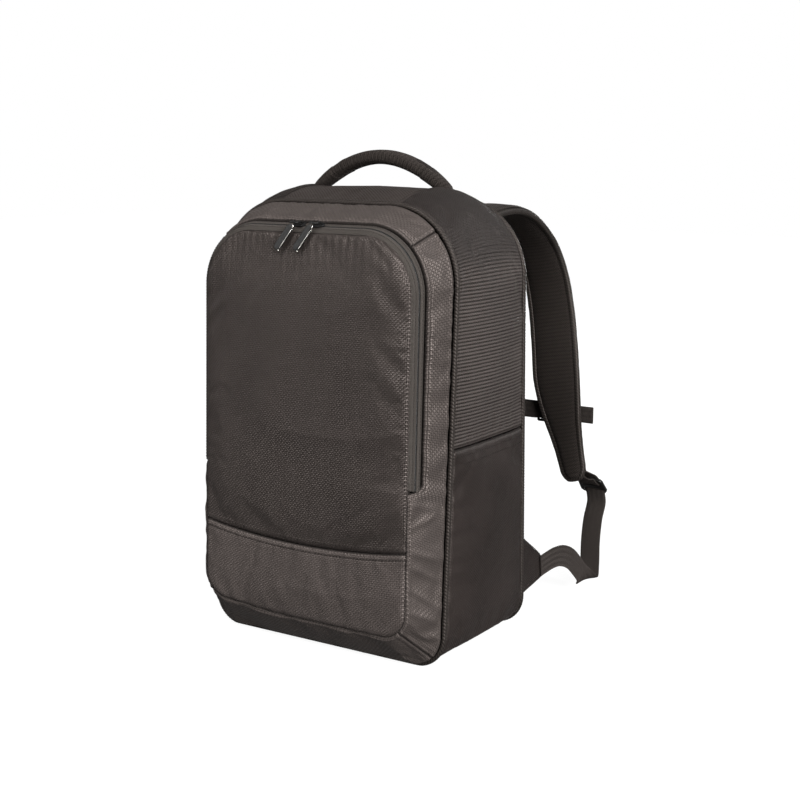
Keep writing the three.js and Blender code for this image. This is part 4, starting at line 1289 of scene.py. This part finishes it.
def sternum_strap():
    def facing_back(x, y=STERNUM_Y):
        return shifted(x, y, STERNUM_Z) @ turned(math.pi / 2, "X")

    def moulding(name, outline, depth, place, body="strap_left", bevel=0.7, holes=()):
        return solid(name, outline, depth, "plastic", body, bevel, place, holes)

    for hand, sign, inner in (("left", -1, -21), ("right", 1, 31)):
        body = "strap_" + hand
        x = np.linspace(inner, sign * 142, 90)
        layers = [0 * x]
        if sign > 0:
            # The right strap is doubled: its two layers hold the tongue, which slides between them.
            layers = [side * 3.9 * (1 - smoothstep(62, 78, x)) + side * 0.4 for side in (-1, 1)]
        paths = [np.stack([x, STERNUM_Y + layer, STERNUM_Z + 0 * x], axis=1) for layer in layers]
        webs = [strip("sternum_web", path, ALONG_Z, oval(10, 0.95, 6, 16), "webbing", body) for path in paths]
        joined("sternum_web_" + hand, webs, "sternum_webbing_" + hand)
        holes = [rounded(x0, -11.4, x0 + 2.9, 11.4, 0.6, 2) for x0 in (-3.8, 0.9)]
        moulding("sternum_keeper_" + hand, rounded(-6, -14, 6, 14, 2), 3.2,
                 facing_back(sign * 74, STERNUM_Y + 0.2), body, 0.8, holes)
    shell = [(-20.5, -13), (5, -13), (9.5, -10), (9.5, 10), (5, 13), (-20.5, 13)]
    cheek = rounded(-20.5, -1, -2, 1, 0.9)
    parts = [moulding("socket", shell, 2.0, facing_back(0) @ shifted(0, 0, depth)) for depth in (-4, 4)]
    parts += [moulding("cheek", cheek, 9.6, facing_back(0) @ shifted(0, side, 0)) for side in (-12, 12)]
    joined("buckle_socket", parts, "sternum_buckle_socket")
    barb = [(14, 9), (10, 9), (2, 9), (0, 9), (5, 6.4), (10, 5.4), (10, 1.6), (-11, 1.2)]
    tongue = [(35.5, -9), (35.5, 9), *barb, (-12, 0), *((x, -y) for x, y in barb[::-1])]
    tongue = moulding("buckle_tongue", tongue, 4.6, facing_back(0), "buckle_tongue", 0.6,
                      [rounded(27, -7, 31.5, 7, 0.8, 2)])
    declare(tongue, "sternum_buckle_tongue")


# ---- Inside ------------------------------------------------------------------------------------

def inside_pieces():
    """Looks for the CAD's own pieces, where nothing replaces them."""
    for node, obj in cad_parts.items():
        if obj.hide_render:
            continue
        finish = "board" if node in ("base_board", "frame_sheet") else "lining"
        for index in range(len(obj.data.materials)):
            obj.data.materials[index] = materials[finish]


# ---- Stage -------------------------------------------------------------------------------------

AREA_LAMPS = (
    # name, place and size in metres, watts
    ("left", (-1.7, -2.6, 0.9), 1.0, 22),
    ("top", (0.1, -1.9, 2.4), 0.9, 60),
    ("low", (2.3, -1.6, 0.35), 0.5, 26),
    ("rim", (1.4, 2.4, 1.6), 1.4, 18),
    ("back", (-0.4, 2.6, 0.25), 0.6, 32),
)


def add_to_scene(name, data):
    obj = bpy.data.objects.new(name, data)
    bpy.context.scene.collection.objects.link(obj)
    return obj


def floor():
    """Pale floor that meets the white world and takes the bag's shadow."""
    mesh = bpy.data.meshes.new("floor")
    mesh.from_pydata([(-6, -6, 0), (6, -6, 0), (6, 6, 0), (-6, 6, 0)], [], [(0, 1, 2, 3)])
    paint = Shader("floor_paint", 0.9, specular=0.1)
    greys = [(level, level, level, 1) for level in (0.15, 0.17)]
    paint.put(paint.surface["Base Color"], paint.mix(paint.noise(3.0), *greys))
    paint.surface["Emission Color"].default_value = (1, 1, 1, 1)
    paint.surface["Emission Strength"].default_value = 0.9
    mesh.materials.append(paint.material)
    obj = add_to_scene("floor", mesh)
    obj.visible_glossy = False
    obj.visible_diffuse = False


def studio():
    """A world that is white to the camera and dim to the bag, and the lamps."""
    world = bpy.data.worlds.new("studio")
    bpy.context.scene.world = world
    world.use_nodes = True
    background = world.node_tree.nodes["Background"]
    seen = world.node_tree.nodes.new("ShaderNodeLightPath").outputs["Is Camera Ray"]
    strength = world.node_tree.nodes.new("ShaderNodeMapRange")
    strength.inputs[3].default_value = 0.09
    strength.inputs[4].default_value = 1.0
    world.node_tree.links.new(seen, strength.inputs[0])
    world.node_tree.links.new(strength.outputs[0], background.inputs[1])
    background.inputs[0].default_value = (1, 1, 1, 1)
    bpy.context.scene.view_settings.view_transform = "Standard"
    for name, place, size, power in AREA_LAMPS:
        light = lamp(name, "AREA", power, place)
        light.size = size
    lamp("key", "SUN", 4.6, (2.4, -1.2, 1.5)).angle = math.radians(25)


def lamp(name, kind, power, place):
    light = bpy.data.lights.new(name, kind)
    light.energy = power
    obj = add_to_scene(name, light)
    obj.location = place
    obj.rotation_euler = (Vector((0, 0, 0.25)) - Vector(place)).to_track_quat("-Z", "Y").to_euler()
    return light


def camera():
    azimuth, elevation = math.radians(33.21), math.radians(10.58)
    back_way = Vector((math.sin(azimuth) * math.cos(elevation), -math.cos(azimuth) * math.cos(elevation),
                       math.sin(elevation)))
    right_way = Vector((math.cos(azimuth), math.sin(azimuth), 0))
    up_way = back_way.cross(right_way)
    data = bpy.data.cameras.new("camera")
    data.sensor_width = 36
    data.lens = 65.3
    obj = add_to_scene("camera", data)
    target = Vector((0, -0.084, 0.239))
    distance, right_shift, up_shift = 1.5146, 0.08095, 0.02596
    obj.location = target + back_way * distance + right_way * right_shift + up_way * up_shift
    obj.rotation_euler = back_way.to_track_quat("Z", "Y").to_euler()
    bpy.context.scene.camera = obj


camera()
floor()
studio()
body_shell()
piping("front_cord", -HALF_DEPTH, "front_piping")
piping("rear_cord", HALF_DEPTH, "rear_piping")
front_compartment()
zip_strip()
zip_sliders()
carry_handle()
back()
for hand, sign in SIDES:
    shoulder_strap(hand, sign)
    ladder_lock(hand, sign)
    lock_loop(hand, sign)
    lower_webbing(hand, sign)
    wing(hand, sign)
sternum_strap()
inside_pieces()
